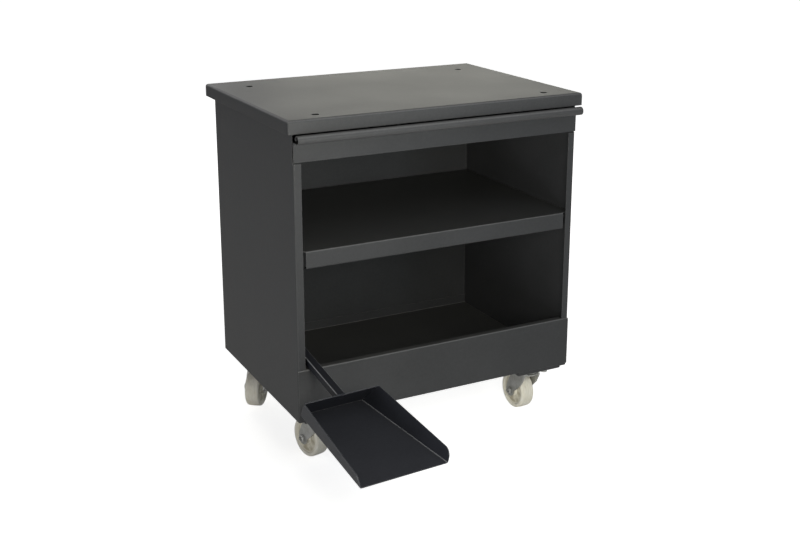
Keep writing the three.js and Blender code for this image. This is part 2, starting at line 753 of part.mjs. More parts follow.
// Square tube whose front end is mitred to the pan's back wall.
function shovelHandle() {
  const side = HANDLE_SIZE / 2;
  const wall = HANDLE_WALL;
  const front = -PAN_REACH - PAN_BACK_LEAN;
  const section = roundedRect(-side, side, 0, HANDLE_SIZE, HANDLE_CORNER);
  const bore = roundedRect(wall - side, side - wall, wall, HANDLE_SIZE - wall, HANDLE_CORNER - wall);
  const tube = cut(
    alongY(section, front, HANDLE_TAIL),
    alongY(bore, front - PAST, HANDLE_TAIL + PAST),
  );
  const slope = Math.atan2(PAN_BACK_HEIGHT, -PAN_BACK_LEAN) + panTilt;
  const reach = PAN_LENGTH;
  const mitre = box(-HANDLE_SIZE, HANDLE_SIZE, -reach, reach, -FIT, reach).rotateX(slope);
  return cut(tube, mitre.translate(0, pan.position.y, pan.position.z));
}

// Cap pressed into the handle's open end.
function handlePlug() {
  const side = HANDLE_SIZE / 2;
  const gap = HANDLE_WALL + FIT;
  const face = roundedRect(-side, side, 0, HANDLE_SIZE, HANDLE_CORNER);
  const round = HANDLE_CORNER - HANDLE_WALL;
  const spigot = roundedRect(gap - side, side - gap, gap, HANDLE_SIZE - gap, round);
  const start = HANDLE_TAIL + FIT;
  return join(
    alongY(face, start, start + PLUG_FACE),
    alongY(spigot, start - PLUG_SPIGOT, start + PLUG_FACE / 2),
  );
}

piece(pan, 'shovel_pan', shovelPan(), shovelPaint);
piece(shovel, 'shovel_handle', shovelHandle(), shovelPaint);
piece(shovel, 'handle_plug', handlePlug(), blackPlastic);

// Keeper: its strap passes over the handle, and a lip closes the far side.
function shovelKeeper() {
  const back = KEEPER_SETBACK + KEEPER_LENGTH;
  const travel = back - shovel.position.y;
  const yaw = rad(SHOVEL_YAW);
  const climb = (travel * Math.tan(rise)) / Math.cos(yaw);
  const handleTop = shovel.position.z + climb + HANDLE_SIZE / Math.cos(rise);
  const nearest = shovel.position.x - (KEEPER_SETBACK - shovel.position.y) * Math.tan(yaw);
  const wall = SHEET / 2 - seat;
  const level = handleTop + KEEPER_CLEARANCE + SHEET / 2;
  const lip = nearest + HANDLE_SIZE / 2 + KEEPER_SIDE_GAP + SHEET / 2;
  const section = folded([
    [wall, level + KEEPER_LEG],
    [wall, level],
    [lip, level],
    [lip, level - KEEPER_LIP],
  ]);
  return alongY(section, KEEPER_SETBACK, back);
}
piece(model, 'shovel_keeper', shovelKeeper(), blackPaint);

// The origin is the middle of the whole stand's outline on the floor.
const bounds = new THREE.Box3().setFromObject(model, true);
const middle = bounds.getCenter(new THREE.Vector3());
model.position.set(-middle.x, -middle.y, 0);

export default stand;
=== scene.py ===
# %% [markdown]
# # A wheeled steel stand: drawer, shelf, bin and shovel
#
# A sheet steel stand on four swivel casters, with a flat top, a shallow drawer, an open shelf, a
# bin behind a low skirt, and a scoop shovel that hangs over the skirt. A CAD model, loaded here as
# a fixed frame, settles the sizes and joints. This lesson builds the looks around it: finer meshes
# for every sheet, fold, weld and wheel, and their paint, zinc and nylon.

import math

import bmesh
import bpy
from mathutils import Matrix, Vector


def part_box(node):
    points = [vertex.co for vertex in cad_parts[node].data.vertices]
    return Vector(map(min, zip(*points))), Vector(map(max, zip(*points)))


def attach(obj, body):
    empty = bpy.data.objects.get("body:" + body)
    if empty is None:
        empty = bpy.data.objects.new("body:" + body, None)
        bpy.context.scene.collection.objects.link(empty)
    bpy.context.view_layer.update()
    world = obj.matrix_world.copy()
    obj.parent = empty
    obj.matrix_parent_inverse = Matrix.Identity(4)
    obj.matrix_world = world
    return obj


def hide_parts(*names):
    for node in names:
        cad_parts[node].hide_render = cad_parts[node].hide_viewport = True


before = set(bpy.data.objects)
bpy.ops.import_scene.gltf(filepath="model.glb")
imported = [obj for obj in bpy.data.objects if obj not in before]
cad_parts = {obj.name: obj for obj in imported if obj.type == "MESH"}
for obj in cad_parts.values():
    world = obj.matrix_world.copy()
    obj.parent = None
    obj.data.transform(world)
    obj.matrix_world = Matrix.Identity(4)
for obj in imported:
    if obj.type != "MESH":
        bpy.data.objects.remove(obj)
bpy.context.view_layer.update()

# %% [markdown]
# ## One place to measure from
#
# A fabricator measures from the front of the body, the middle of its width and the floor, in
# millimetres. Blender works in metres from the frame's own origin. One matrix, found from two CAD
# nodes, turns the first into the second, so each piece below is written in shop drawing numbers.

# %% The stand's own coordinates
MM = 0.001
back_low, back_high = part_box("back_panel")
side_low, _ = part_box("side_panel_left")
TO_FRAME = Matrix.Translation(((back_low.x + back_high.x) / 2, side_low.y, 0)) @ Matrix.Scale(MM, 4)
print("body's front middle is at", [round(v, 4) for v in TO_FRAME.translation])

# %% [markdown]
# ## Writing shader maths as sums
#
# A finish is a small network of nodes. Wiring it socket by socket is slow to read, so one class
# wraps an output socket: adding or multiplying two adds a Math node, vectors go through Vector
# Math, and one method adds any other node with its settings and inputs.

# %% A socket that can be added and multiplied
class Socket:
    """An output socket of a shader node."""

    def __init__(self, tree, output=None):
        self.tree = tree
        self.output = output

    def node(self, kind, settings, inputs, output=0):
        made = self.tree.nodes.new(kind)
        for key, setting in settings.items():
            setattr(made, key, setting)
        for key, value in inputs.items():
            plug(made.inputs[key], value)
        return Socket(self.tree, made.outputs[output])

    def math(self, operation, *terms):
        return self.node("ShaderNodeMath", {"operation": operation}, dict(enumerate(terms)))

    def __add__(self, other):
        return self.math("ADD", self, other)

    __radd__ = __add__

    def __sub__(self, other):
        return self.math("SUBTRACT", self, other)

    def __rsub__(self, other):
        return self.math("SUBTRACT", other, self)

    def __mul__(self, other):
        return self.math("MULTIPLY", self, other)

    __rmul__ = __mul__

    def __abs__(self):
        return self.math("ABSOLUTE", self)

    def larger(self, other):
        return self.math("MAXIMUM", self, other)

    def vector(self, operation, *terms, output="Vector"):
        settings = {"operation": operation}
        return self.node("ShaderNodeVectorMath", settings, dict(enumerate(terms)), output)

    def length(self):
        return self.vector("LENGTH", self, output="Value")

    def parts(self):
        """The x, y and z of a vector."""
        return [self.node("ShaderNodeSeparateXYZ", {}, {"Vector": self}, axis) for axis in "XYZ"]

    def between(self, low, high):
        """0 below low, 1 above high, and smooth in between."""
        return self.node(
            "ShaderNodeMapRange",
            {"interpolation_type": "SMOOTHSTEP"},
            {"Value": self, "From Min": low, "From Max": high},
        )


def plug(target, value):
    """Link a socket to a node's input, or set a plain number or colour there."""
    if isinstance(value, Socket):
        value.tree.links.new(value.output, target)
    else:
        target.default_value = value


print("Socket handles sums, vectors and any node")

# %% [markdown]
# ## Starting a finish
#
# Every finish below is one Principled shader fed by noise in object coordinates. Those are in
# metres here, so a noise scale of 400 has lumps about 2.5 mm across, on a wheel as on a panel.

# %% Helpers that all finishes share
MIX_COLOUR = {"data_type": "RGBA"}
MIX_A, MIX_B, MIX_OUT = 6, 7, 2


def start_finish(name):
    """A new material: its shader node, and a socket with object coordinates."""
    material = bpy.data.materials.new(name)
    material.use_nodes = True
    shader = material.node_tree.nodes["Principled BSDF"]
    root = Socket(material.node_tree)
    where = root.node("ShaderNodeTexCoord", {}, {}, "Object")
    print("making", name)
    return material, shader, where


def noise(where, scale, detail=2.0, roughness=0.5):
    inputs = {"Vector": where, "Scale": scale, "Detail": detail, "Roughness": roughness}
    return where.node("ShaderNodeTexNoise", {}, inputs)


def mix(factor, first, second):
    inputs = {0: factor, MIX_A: first, MIX_B: second}
    return factor.node("ShaderNodeMix", MIX_COLOUR, inputs, MIX_OUT)


def bump(height, strength, distance):
    inputs = {"Height": height, "Strength": strength, "Distance": distance}
    return height.node("ShaderNodeBump", {}, inputs)


def feed(shader, **sockets):
    """Plug values into a shader's inputs."""
    for key, value in sockets.items():
        plug(shader.inputs[key.replace("_", " ")], value)


def shade(red, green, blue):
    return (red, green, blue, 1.0)


print("finish helpers ready")

# %% [markdown]
# ## Where paint wears and where highlights are painted
#
# Powder coat is thin and pale where it wraps a sharp edge. The Bevel node finds the edges, because
# its rounded normal leaves the true one there. The pale colour there is partly wear and partly a
# painted highlight. The folds that look up get the same pale colour as a painted highlight. The
# body's sheets lie along the axes, so a normal between the axes can only be a fold. Level faces get
# a trace of paler, warmer colour, partly a dusty film and partly a painted sheen. All this could be
# painted into an image, but masks worked out from the surface fit any piece.

# %% Masks for edges, level faces and folds
EDGE_RADIUS = 0.0012
EDGE_TURN = (0.02, 0.25)
SQUARE_ON = (0.75, 0.98)
FOLD_RISE = (0.15, 0.5)
FOLD_END = (0.78, 0.97)


def surface_normal(where):
    return where.node("ShaderNodeNewGeometry", {}, {}, "Normal")


def edge_mask(where):
    """1 along sharp edges, 0 on flat faces."""
    rounded = where.node("ShaderNodeBevel", {"samples": 4}, {"Radius": EDGE_RADIUS})
    agreement = where.vector("DOT_PRODUCT", surface_normal(where), rounded, output="Value")
    return (1 - agreement).between(*EDGE_TURN)


def level_mask(where):
    """1 on faces that look up."""
    _, _, up = surface_normal(where).parts()
    return up.between(*SQUARE_ON)


def fold_highlight_mask(where):
    """1 on rounds of upward folds, whose normals lie between the frame's axes: painted highlight.
    """
    x, y, z = surface_normal(where).parts()
    along_an_axis = abs(x).larger(abs(y)).larger(z).between(*FOLD_END)
    return z.between(*FOLD_RISE) * (1 - along_an_axis)


print("edges are worn", EDGE_RADIUS / MM, "mm wide")

# %% [markdown]
# ## Powder coat
#
# The body is dark charcoal powder coat. Baked powder flows into a faint orange peel with a finer
# grain. The peel could be modelled, but it is only microns deep, so a Bump node is the place for
# it. The colour drifts in clouds and mottles, because a large panel in one flat colour looks like
# plastic. Pieces wear and carry painted highlights in different places, so each coat has its own
# function for that.

# %% Powder coat
PEEL_SCALE, PEEL_HEIGHT = 420.0, 0.0005
GRAIN_SCALE = 1900.0
MOTTLE_SCALE = 170.0
CLOUD_SCALE = 7.0
MIDDLE = (0.3, 0.7)
SPECK = (0.62, 0.78)
SPECK_SHARE = 0.35
UNEVEN = 0.10


def powder_coat(name, dark, light, wear_and_highlight, dust_and_sheen, highlit_and_rubbed, roughness, gloss, peel_strength):
    """Pale on cut edges and where highlit_and_rubbed says: wear and painted highlights."""
    material, shader, where = start_finish(name)
    cloud = noise(where, CLOUD_SCALE, 4.0, 0.6)
    mottle = noise(where, MOTTLE_SCALE, 3.0, 0.6)
    peel = noise(where, PEEL_SCALE, 1.5)
    grain = noise(where, GRAIN_SCALE, 2.0)
    film = mix(0.6 * cloud.between(*MIDDLE) + 0.4 * mottle.between(*MIDDLE), dark, light)
    flecked = mix(grain.between(*SPECK) * SPECK_SHARE, film, light)
    # pale where edges wear and where the mask paints highlights
    wear_and_highlight_mask = edge_mask(where).larger(highlit_and_rubbed(where))
    worn_and_highlit = mix(wear_and_highlight_mask * (0.25 + 0.5 * peel + 0.25 * mottle), flecked, wear_and_highlight)
    # paler on level faces: a dusty film and a painted sheen
    dust_and_sheen_share = level_mask(where) * (0.10 + 0.25 * cloud)
    colour = mix(dust_and_sheen_share, worn_and_highlit, dust_and_sheen)
    dullness = roughness + UNEVEN * (grain - 0.5) + UNEVEN * (cloud - 0.5) + UNEVEN * dust_and_sheen_share
    relief = bump(0.75 * peel + 0.25 * grain, peel_strength, PEEL_HEIGHT)
    feed(shader, Base_Color=colour, Roughness=dullness, Normal=relief, Specular_IOR_Level=gloss)
    return material


def charcoal_coat(name, highlit_and_rubbed):
    """The body's coat."""
    dark, light = shade(0.036, 0.037, 0.039), shade(0.047, 0.048, 0.051)
    # a pale colour for edge wear and painted highlights, and one for a dusty film and painted sheen
    wear_and_highlight, dust_and_sheen = shade(0.17, 0.17, 0.174), shade(0.110, 0.108, 0.095)
    return powder_coat(
        name, dark, light, wear_and_highlight, dust_and_sheen, highlit_and_rubbed, roughness=0.48, gloss=0.35, peel_strength=0.10
    )


# the body: pale on cut edges and upward folds, wear and painted highlights
body_coat = charcoal_coat("charcoal_powder_coat", fold_highlight_mask)

# %% [markdown]
# ## Zinc plate
#
# Caster metal and drawer runners are zinc plated. Fresh zinc is bright and bluish, and it soon
# dulls in cloudy patches, with darker grime in the pores. A Voronoi texture gives the faint
# crystals, noise gives the patches, and both change the roughness more than the colour.

# %% Zinc
GRIME = (0.58, 0.75)
zinc, shader, where = start_finish("dull_zinc_plate")
patch = noise(where, 60.0, 4.0, 0.65)
pores = noise(where, 900.0, 2.0)
crystal = where.node("ShaderNodeTexVoronoi", {}, {"Vector": where, "Scale": 320.0}, "Distance")
bright = mix(patch.between(*MIDDLE), shade(0.40, 0.40, 0.38), shade(0.56, 0.56, 0.55))
tone = mix(pores.between(*GRIME) * 0.5, bright, shade(0.22, 0.215, 0.20))
feed(
    shader,
    Base_Color=tone,
    Metallic=0.9,
    Roughness=0.36 + 0.16 * patch + 0.08 * crystal,
    Normal=bump(0.6 * pores + 0.4 * crystal, 0.12, 0.0003),
)

# %% [markdown]
# ## Cream nylon
#
# The wheels are moulded nylon, the colour of old ivory. A wheel picks up dirt on its tread, and
# its dish is darker and more olive in patches, so this finish needs to know how far a point is from
# the axle. The wheel pieces are built round their own axle, along their own X, so the length of
# (Y, Z) is that distance.

# %% Nylon for the wheels
TREAD = (0.0375, 0.0393)
HUB_EDGE, RIM_EDGE = (0.012, 0.016), (0.027, 0.032)
STREAK, DISH_PATCH = (0.40, 0.75), (0.42, 0.62)


def from_axis(point):
    """How far a point is from the X axis."""
    return point.vector("MULTIPLY", point, (0, 1, 1)).length()


nylon, shader, where = start_finish("cream_nylon")
reach = from_axis(where)
mottle = noise(where, 55.0, 4.0, 0.6)
streak = noise(where.vector("MULTIPLY", where, (7, 1, 1)), 90.0, 4.0, 0.6)
pits = noise(where, 900.0, 2.0)
on_tread = reach.between(*TREAD)
in_dish = reach.between(*HUB_EDGE) * (1 - reach.between(*RIM_EDGE))
cream = mix(mottle.between(*MIDDLE), shade(0.88, 0.84, 0.72), shade(0.94, 0.91, 0.82))
dirty = mix(on_tread * streak.between(*STREAK) * 0.40, cream, shade(0.56, 0.51, 0.40))
# the dish is darker and more olive in patches
dish_darkening = in_dish * (0.25 + 0.6 * mottle.between(*DISH_PATCH))
feed(
    shader,
    Base_Color=mix(dish_darkening, dirty, shade(0.44, 0.39, 0.26)),
    Roughness=0.42 + 0.2 * on_tread * streak + 0.08 * mottle,
    Normal=bump(0.6 * streak + 0.4 * pits, 0.10, 0.0004),
)

# %% [markdown]
# ## Black plastic
#
# A moulded cap closes the tail of the shovel's handle. Such caps have a fine pebbled skin from the
# mould, and two noises, one fine and one coarse, are enough for a piece as small as this.

# %% Plastic for the cap
cap_plastic, shader, where = start_finish("black_cap_plastic")
pebble = noise(where, 1400.0, 2.0)
smear = noise(where, 90.0, 3.0)
feed(
    shader,
    Base_Color=mix(smear, shade(0.010, 0.010, 0.011), shade(0.020, 0.020, 0.021)),
    Roughness=0.5 + 0.15 * pebble,
    Normal=bump(pebble, 0.2, 0.0003),
)

# %% [markdown]
# ## From a drawing to a piece
#
# A piece starts as a bmesh in millimetres. This step moves it into the frame, rounds its sharp
# edges with a Bevel modifier, evens its shading with weighted normals, parents it to an empty
# for the body it moves with, hides the CAD nodes it stands for and gives it its finish.

# %% Turn a bmesh into a piece of the stand
EDGE_BREAK = 0.35
SHARP = math.radians(28)


def add_piece(name, form, body, slot, finish, stands_for=(), at=TO_FRAME, edge=EDGE_BREAK, steps=2):
    """Add a closed form, given in millimetres; at takes it into the frame."""
    bmesh.ops.recalc_face_normals(form, faces=form.faces)
    form.transform(at)
    return finish_piece(name, form, body, slot, finish, stands_for, edge, steps)


def to_mesh(name, form):
    """The form as a mesh; the form itself is used up."""
    mesh = bpy.data.meshes.new(name)
    form.to_mesh(mesh)
    form.free()
    return mesh


def put(name, data):
    """A new object in the scene."""
    made = bpy.data.objects.new(name, data)
    bpy.context.scene.collection.objects.link(made)
    return made


def finish_piece(name, form, body, slot, finish, stands_for, edge, steps):
    mesh = to_mesh(name, form)
    mesh.materials.append(finish)
    mesh.polygons.foreach_set("use_smooth", [True] * len(mesh.polygons))
    made = put(name, mesh)
    if edge:
        rounding = made.modifiers.new("edge_break", "BEVEL")
        rounding.width = edge * MM
        rounding.segments = steps
        rounding.angle_limit = SHARP
        rounding.miter_outer = "MITER_ARC"
    made.modifiers.new("even_shading", "WEIGHTED_NORMAL").keep_sharp = False
    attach(made, body)
    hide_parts(*stands_for)
    return made


def add_sheet(name, form, node, body="cabinet", finish=body_coat, **more):
    """Add one of the body's painted sheets."""
    return add_piece(name, form, body, "body_paint", finish, [node], **more)


print("pieces get edges rounded to", EDGE_BREAK, "mm")

# %% [markdown]
# ## Folded sheet
#
# Nearly every part of the body is a flat sheet with folds. A press brake leaves a round inside and
# outside each fold, so a sheet is drawn as its middle line, with an arc at each corner, and then
# given its thickness and its length. The fine arcs make the folds catch the light as real ones do.
# The thickness could also come from a Solidify modifier, but plain quads leave nothing to guess for
# the notches that are cut next.

# %% Draw and run a folded sheet
SHEET = 1.5
BEND = 2.5
FOLD_STEPS = 7
ACROSS = {
    "x": lambda u, v, run: (run, u, v),
    "y": lambda u, v, run: (u, run, v),
    "z": lambda u, v, run: (u, v, run),
}


def fold_line(corners, radius=BEND):
    """The corners joined by a line, with an arc in place of each inner corner."""
    points = [Vector(corner) for corner in corners]
    line = [points[0]]
    for before, corner, after in zip(points, points[1:], points[2:]):
        back = (before - corner).normalized()
        ahead = (after - corner).normalized()
        half = math.acos(back.dot(ahead)) / 2
        centre = corner + (back + ahead).normalized() * (radius / math.sin(half))
        first = corner + back * (radius / math.tan(half)) - centre
        turn = (math.pi - 2 * half) * (1 if ahead.cross(back) > 0 else -1)
        for step in range(FOLD_STEPS + 1):
            line.append(centre + Matrix.Rotation(turn * step / FOLD_STEPS, 2) @ first)
    return line + [points[-1]]


def two_sides(line, thickness):
    """The line moved half the thickness to its left and to its right."""
    normals = [(b - a).normalized().orthogonal() for a, b in zip(line, line[1:])]
    left, right = [], []
    for i, point in enumerate(line):
        before, after = normals[max(i - 1, 0)], normals[min(i, len(normals) - 1)]
        mitre = (before + after).normalized()
        offset = mitre * (thickness / 2 / mitre.dot(before))
        left.append(point + offset)
        right.append(point - offset)
    return left, right


def run_sheet(line, axis, start, stop, thickness=SHEET):
    """A sheet that follows a line and runs along an axis."""
    form = bmesh.new()
    left, right = two_sides(line, thickness)
    rows = [
        [form.verts.new(ACROSS[axis](point.x, point.y, run)) for point in side]
        for run in (start, stop)
        for side in (left, right)
    ]
    last = len(line) - 1
    for one, other in ((0, 2), (1, 3), (0, 1), (2, 3)):
        for i in range(last):
            form.faces.new((rows[one][i], rows[one][i + 1], rows[other][i + 1], rows[other][i]))
    for i in (0, last):
        form.faces.new((rows[0][i], rows[1][i], rows[3][i], rows[2][i]))
    return form


print("a fold has", FOLD_STEPS, "facets")

# %% [markdown]
# ## Notches and holes
#
# Sheets are notched before they are folded, so that the flanges clear each other. The Boolean
# modifier does the same to the finished form. Its result is read back into a bmesh, and the
# cutting tools are thrown away.

# %% Loft, block, round bar and cut
WELD_POINTS = 0.01


def arc(first, last, steps):
    """The cosine and sine of angles from first to last, in degrees."""
    turns = [math.radians(first + (last - first) * step / steps) for step in range(steps + 1)]
    return [(math.cos(turn), math.sin(turn)) for turn in turns]


def circle(radius, sides):
    return [(radius * c, radius * s) for c, s in arc(0, 360, sides)[:-1]]


def loft(loops, ring=False):
    """A closed skin over a row of loops: with a face at each end, or joined into a ring."""
    form = bmesh.new()
    rows = [[form.verts.new(point) for point in loop] for loop in loops]
    for row, following in zip(rows, rows[1:] + (rows[:1] if ring else [])):
        for i in range(len(row)):
            j = (i + 1) % len(row)
            form.faces.new((row[i], row[j], following[j], following[i]))
    for end in () if ring else (rows[0], rows[-1]):
        form.faces.new(end)
    return form


def stock_mesh(form):
    """The form as a mesh, with its faces turned outward."""
    bmesh.ops.recalc_face_normals(form, faces=form.faces)
    return to_mesh("stock", form)


def block(x0, x1, y0, y1, z0, z1):
    base = [(x0, y0), (x1, y0), (x1, y1), (x0, y1)]
    return loft([[(x, y, z) for x, y in base] for z in (z0, z1)])


def bar(radius, start, stop, centre=(0, 0), axis="z", sides=48):
    """A round bar along an axis, as a solid to add or to cut with."""
    base = [(centre[0] + u, centre[1] + v) for u, v in circle(radius, sides)]
    return loft([[ACROSS[axis](u, v, run) for u, v in base] for run in (start, stop)])


def combine(form, operation, *tools):
    """Cut (DIFFERENCE), add (UNION) or keep the overlap with (INTERSECT) other forms."""
    stock = [put("stock", stock_mesh(shape)) for shape in (form, *tools)]
    for tool in stock[1:]:
        step = stock[0].modifiers.new("step", "BOOLEAN")
        step.operation = operation
        step.solver = "EXACT"
        step.object = tool
    depsgraph = bpy.context.evaluated_depsgraph_get()
    result = bpy.data.meshes.new_from_object(stock[0].evaluated_get(depsgraph))
    made = bmesh.new()
    made.from_mesh(result)
    for used in stock:
        bpy.data.meshes.remove(used.data)
    bpy.data.meshes.remove(result)
    bmesh.ops.remove_doubles(made, verts=made.verts, dist=WELD_POINTS)
    return made


print("cutting tools ready")

# %% [markdown]
# ## Heights and faces
#
# A few heights fix the whole body. They repeat the CAD model's numbers, because a look that is
# even a millimetre off would show as a gap in one of the poses. GAP is the clearance at which
# pieces seat on each other, and CUT is how far a cutting tool reaches past what it cuts.

# %% The body's main sizes, in millimetres
HALF = 300.0
DEPTH = 415.0
SEAT = 298.2
SIDE_BOTTOM = 111.1
SIDE_TOP = 681.7
FLANGE = 15.0
FLANGE_TOP = 604.5
FOLD_OUTER = BEND + SHEET / 2
FLOOR_BOTTOM = 115.6
SKIRT_TOP = 215.6
SHELF_TOP = 442.1
SHELF_LIP = 33.5
BACK_FACE = 411.7
PIVOT_X, PIVOT_FRONT, PIVOT_BACK = 236.0, 46.0, 369.0
FACE = -1.05
GAP = 0.3
CUT = 1.0
SIDES = (("left", -1), ("right", 1))
low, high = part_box("side_panel_left")
print("side panel is", [round((b - a) / MM, 1) for a, b in zip(low, high)], "mm")

# %% [markdown]
# ## Side panels
#
# Each side is one sheet with a 15 mm flange turned in at the front and the back. The front flange
# stops under the drawer, whose face covers the rest.

# %% Fold the side panels
for hand, sign in SIDES:
    wall, lip = sign * (HALF - SHEET / 2), sign * (HALF - FLANGE)
    near, far = SHEET / 2, DEPTH - SHEET / 2
    line = fold_line([(lip, far), (wall, far), (wall, near), (lip, near)])
    panel = run_sheet(line, "z", SIDE_BOTTOM, SIDE_TOP)
    inner, outer = lip - sign * CUT, sign * (HALF + CUT)
    drawer_room = block(inner, outer, -CUT, FOLD_OUTER, FLANGE_TOP, SIDE_TOP + CUT)
    panel = combine(panel, "DIFFERENCE", drawer_room)
    node = f"side_panel_{hand}"
    add_sheet(f"panel_{hand}", panel, node)
    print("folded", node)

# %% [markdown]
# ## Skirt and shelf
#
# The skirt lies over the side flanges and closes the bin. Its top edge is folded in and hemmed, so
# that a hand or a shovel's handle meets a round edge. The shelf has a deep lip that stands between
# the flanges. Both are notched where their folds would meet the sides.

# %% Fold the skirt
HEM_FACE, HEM_DROP, HEM_ROOM = FACE + 14, 8.0, 2.0


def side_notches(clear, *extent):
    """A block at each side, from clear to past the side; extent is its y and z."""
    return [block(sign * clear, sign * (HALF + CUT), *extent) for _, sign in SIDES]


hem_level = SKIRT_TOP - SHEET / 2
hem_end = hem_level - HEM_DROP
line = fold_line(
    [(FACE, FLOOR_BOTTOM), (FACE, hem_level), (HEM_FACE, hem_level), (HEM_FACE, hem_end)]
)
low, high = FLOOR_BOTTOM - CUT, SKIRT_TOP + CUT
notches = side_notches(HALF - FLANGE - GAP, -GAP, HEM_FACE + HEM_ROOM, low, high)
skirt = combine(run_sheet(line, "x", -HALF, HALF), "DIFFERENCE", *notches)
add_sheet("skirt", skirt, "front_skirt")
print("skirt is", round(SKIRT_TOP - FLOOR_BOTTOM), "mm high")

# %% Fold the shelf
SHELF_REAR, LIP_RETURN = 15.0, 10.0
LIP_NOTCH, FOLD_NOTCH, RETURN_NOTCH, NOTCH_DROP = 6.0, 3.55, 13.0, 2.0
LIP_END = SHELF_TOP - SHELF_LIP + SHEET / 2
level, front, back = SHELF_TOP - SHEET / 2, SHEET / 2, BACK_FACE - GAP - SHEET / 2
rear_end, lip_back = level - SHELF_REAR, front + LIP_RETURN
line = fold_line(
    [(back, rear_end), (back, level), (front, level), (front, LIP_END), (lip_back, LIP_END)]
)
clear, low = HALF - FLANGE - LIP_NOTCH, LIP_END - NOTCH_DROP
notches = side_notches(clear, -CUT, FOLD_NOTCH, low, SHELF_TOP + CUT)
notches += side_notches(clear, -CUT, RETURN_NOTCH, low, SHELF_TOP - SHEET - BEND)
shelf = combine(run_sheet(line, "x", -SEAT, SEAT), "DIFFERENCE", *notches)
add_sheet("shelf", shelf, "middle_shelf")
print("shelf is", SHELF_TOP, "mm from the floor")

# %% [markdown]
# ## The shovel's place
#
# The shovel's handle lies over the skirt's round edge and climbs to a keeper on the left side. It
# could be placed by eye, but then the keeper would not fit it. So its place is worked out from the
# edge that it lies on, and the keeper's strap follows from that.

# %% Where the handle lies
YAW = math.radians(3.6)
RISE = math.radians(12)
HANDLE = 16.0
HANDLE_FROM_SIDE = 28.7
edge_reach = FOLD_OUTER + GAP
spot_y = FACE - SHEET / 2 + FOLD_OUTER - edge_reach * math.sin(RISE)
spot_z = SKIRT_TOP - FOLD_OUTER + edge_reach * math.cos(RISE)
shovel_spot = Vector((HANDLE_FROM_SIDE - HALF, spot_y, spot_z))
at_spot = TO_FRAME @ Matrix.Translation(shovel_spot)
AT_SHOVEL = at_spot @ Matrix.Rotation(YAW, 4, "Z") @ Matrix.Rotation(RISE, 4, "X")
KEEPER_FRONT, KEEPER_BACK = 150.0, 175.0
KEEPER_OVER, KEEPER_ASIDE = 0.6, 3.0
climb = (KEEPER_BACK - shovel_spot.y) * math.tan(RISE) / math.cos(YAW)
strap = shovel_spot.z + climb + HANDLE / math.cos(RISE) + KEEPER_OVER + SHEET / 2
nearest = shovel_spot.x - (KEEPER_FRONT - shovel_spot.y) * math.tan(YAW)
strap_lip = nearest + HANDLE / 2 + KEEPER_ASIDE + SHEET / 2
print("handle crosses the skirt at", [round(v, 1) for v in shovel_spot])

# %% [markdown]
# ## Plain folded pieces
#
# The floor, the back, the ties under the top, the brackets, the drawer's runners and the shovel's
# keeper are all short folded sections. One table holds their corners, so one loop makes them all.

# %% Fold the plain pieces
FLOOR_FRONT, FLOOR_LIP = 4.3, 20.0
BACK_HALF = 295.25
TIE_FRONT, TIE_DROP, TIE_LIP = 8.75, 18.0, 13.0
KEEPER_FOOT, KEEPER_LIP = 30.0, 12.0
BRACKET_DROP = 16.0
tie, wall, top_level = BACK_FACE - GAP - SHEET / 2, SEAT - SHEET / 2, SIDE_TOP - SHEET / 2
tie_low = top_level - TIE_DROP
floor_level = FLOOR_BOTTOM + SHEET / 2
floor_lip = floor_level + FLOOR_LIP
bracket_level = SHELF_TOP - SHEET - GAP - SHEET / 2
back_middle = BACK_FACE + SHEET / 2
FOLDED = [
    ("floor", "floor_pan", "x", (-SEAT, SEAT),
     [(FLOOR_FRONT, floor_lip), (FLOOR_FRONT, floor_level), (tie, floor_level), (tie, floor_lip)]),
    ("back", "back_panel", "x", (-BACK_HALF, BACK_HALF),
     [(back_middle, FLOOR_BOTTOM), (back_middle, SIDE_TOP)]),
    ("tie_front", "top_tie_front", "x", (-SEAT, SEAT),
     [(TIE_FRONT, tie_low), (TIE_FRONT, top_level), (TIE_FRONT + TIE_LIP, top_level)]),
    ("tie_rear", "top_tie_rear", "x", (-SEAT, SEAT),
     [(tie, tie_low), (tie, top_level), (tie - TIE_LIP, top_level)]),
    ("keeper", "shovel_keeper", "y", (KEEPER_FRONT, KEEPER_BACK),
     [(-wall, strap + KEEPER_FOOT), (-wall, strap),
      (strap_lip, strap), (strap_lip, strap - KEEPER_LIP)]),
]
RUNNER_LOW, RUNNER_HIGH = 611.25, 639.75
SLIDE_LOW, SLIDE_HIGH = 613.05, 633.55
for hand, sign in SIDES:
    side, rail_lip, bracket_lip = sign * wall, sign * 280.2, sign * 282.2
    channel, web, lip = sign * 288.2, sign * 286.55, sign * 295.2
    bracket_low = bracket_level - BRACKET_DROP
    FOLDED += [
        (f"rail_{hand}", f"top_rail_{hand}", "y", (22.05, 397.35),
         [(side, tie_low), (side, top_level), (rail_lip, top_level)]),
        (f"bracket_{hand}", f"shelf_bracket_{hand}", "y", (25.0, 386.7),
         [(side, bracket_low), (side, bracket_level), (bracket_lip, bracket_level)]),
        (f"runner_{hand}", f"drawer_rail_{hand}", "y", (6.0, 405.7),
         [(channel, RUNNER_LOW), (side, RUNNER_LOW), (side, RUNNER_HIGH), (channel, RUNNER_HIGH)]),
        (f"slide_{hand}", f"drawer_slide_{hand}", "y", (6.0, 386.0),
         [(lip, SLIDE_LOW), (web, SLIDE_LOW), (web, SLIDE_HIGH), (lip, SLIDE_HIGH)]),
    ]
for name, node, axis, (start, stop), corners in FOLDED:
    body = "drawer" if name.startswith("slide") else "cabinet"
    slot, finish = ("zinc", zinc) if node.startswith("drawer") else ("body_paint", body_coat)
    add_piece(name, run_sheet(fold_line(corners), axis, start, stop), body, slot, finish, [node])
print("folded", len(FOLDED), "plain pieces")

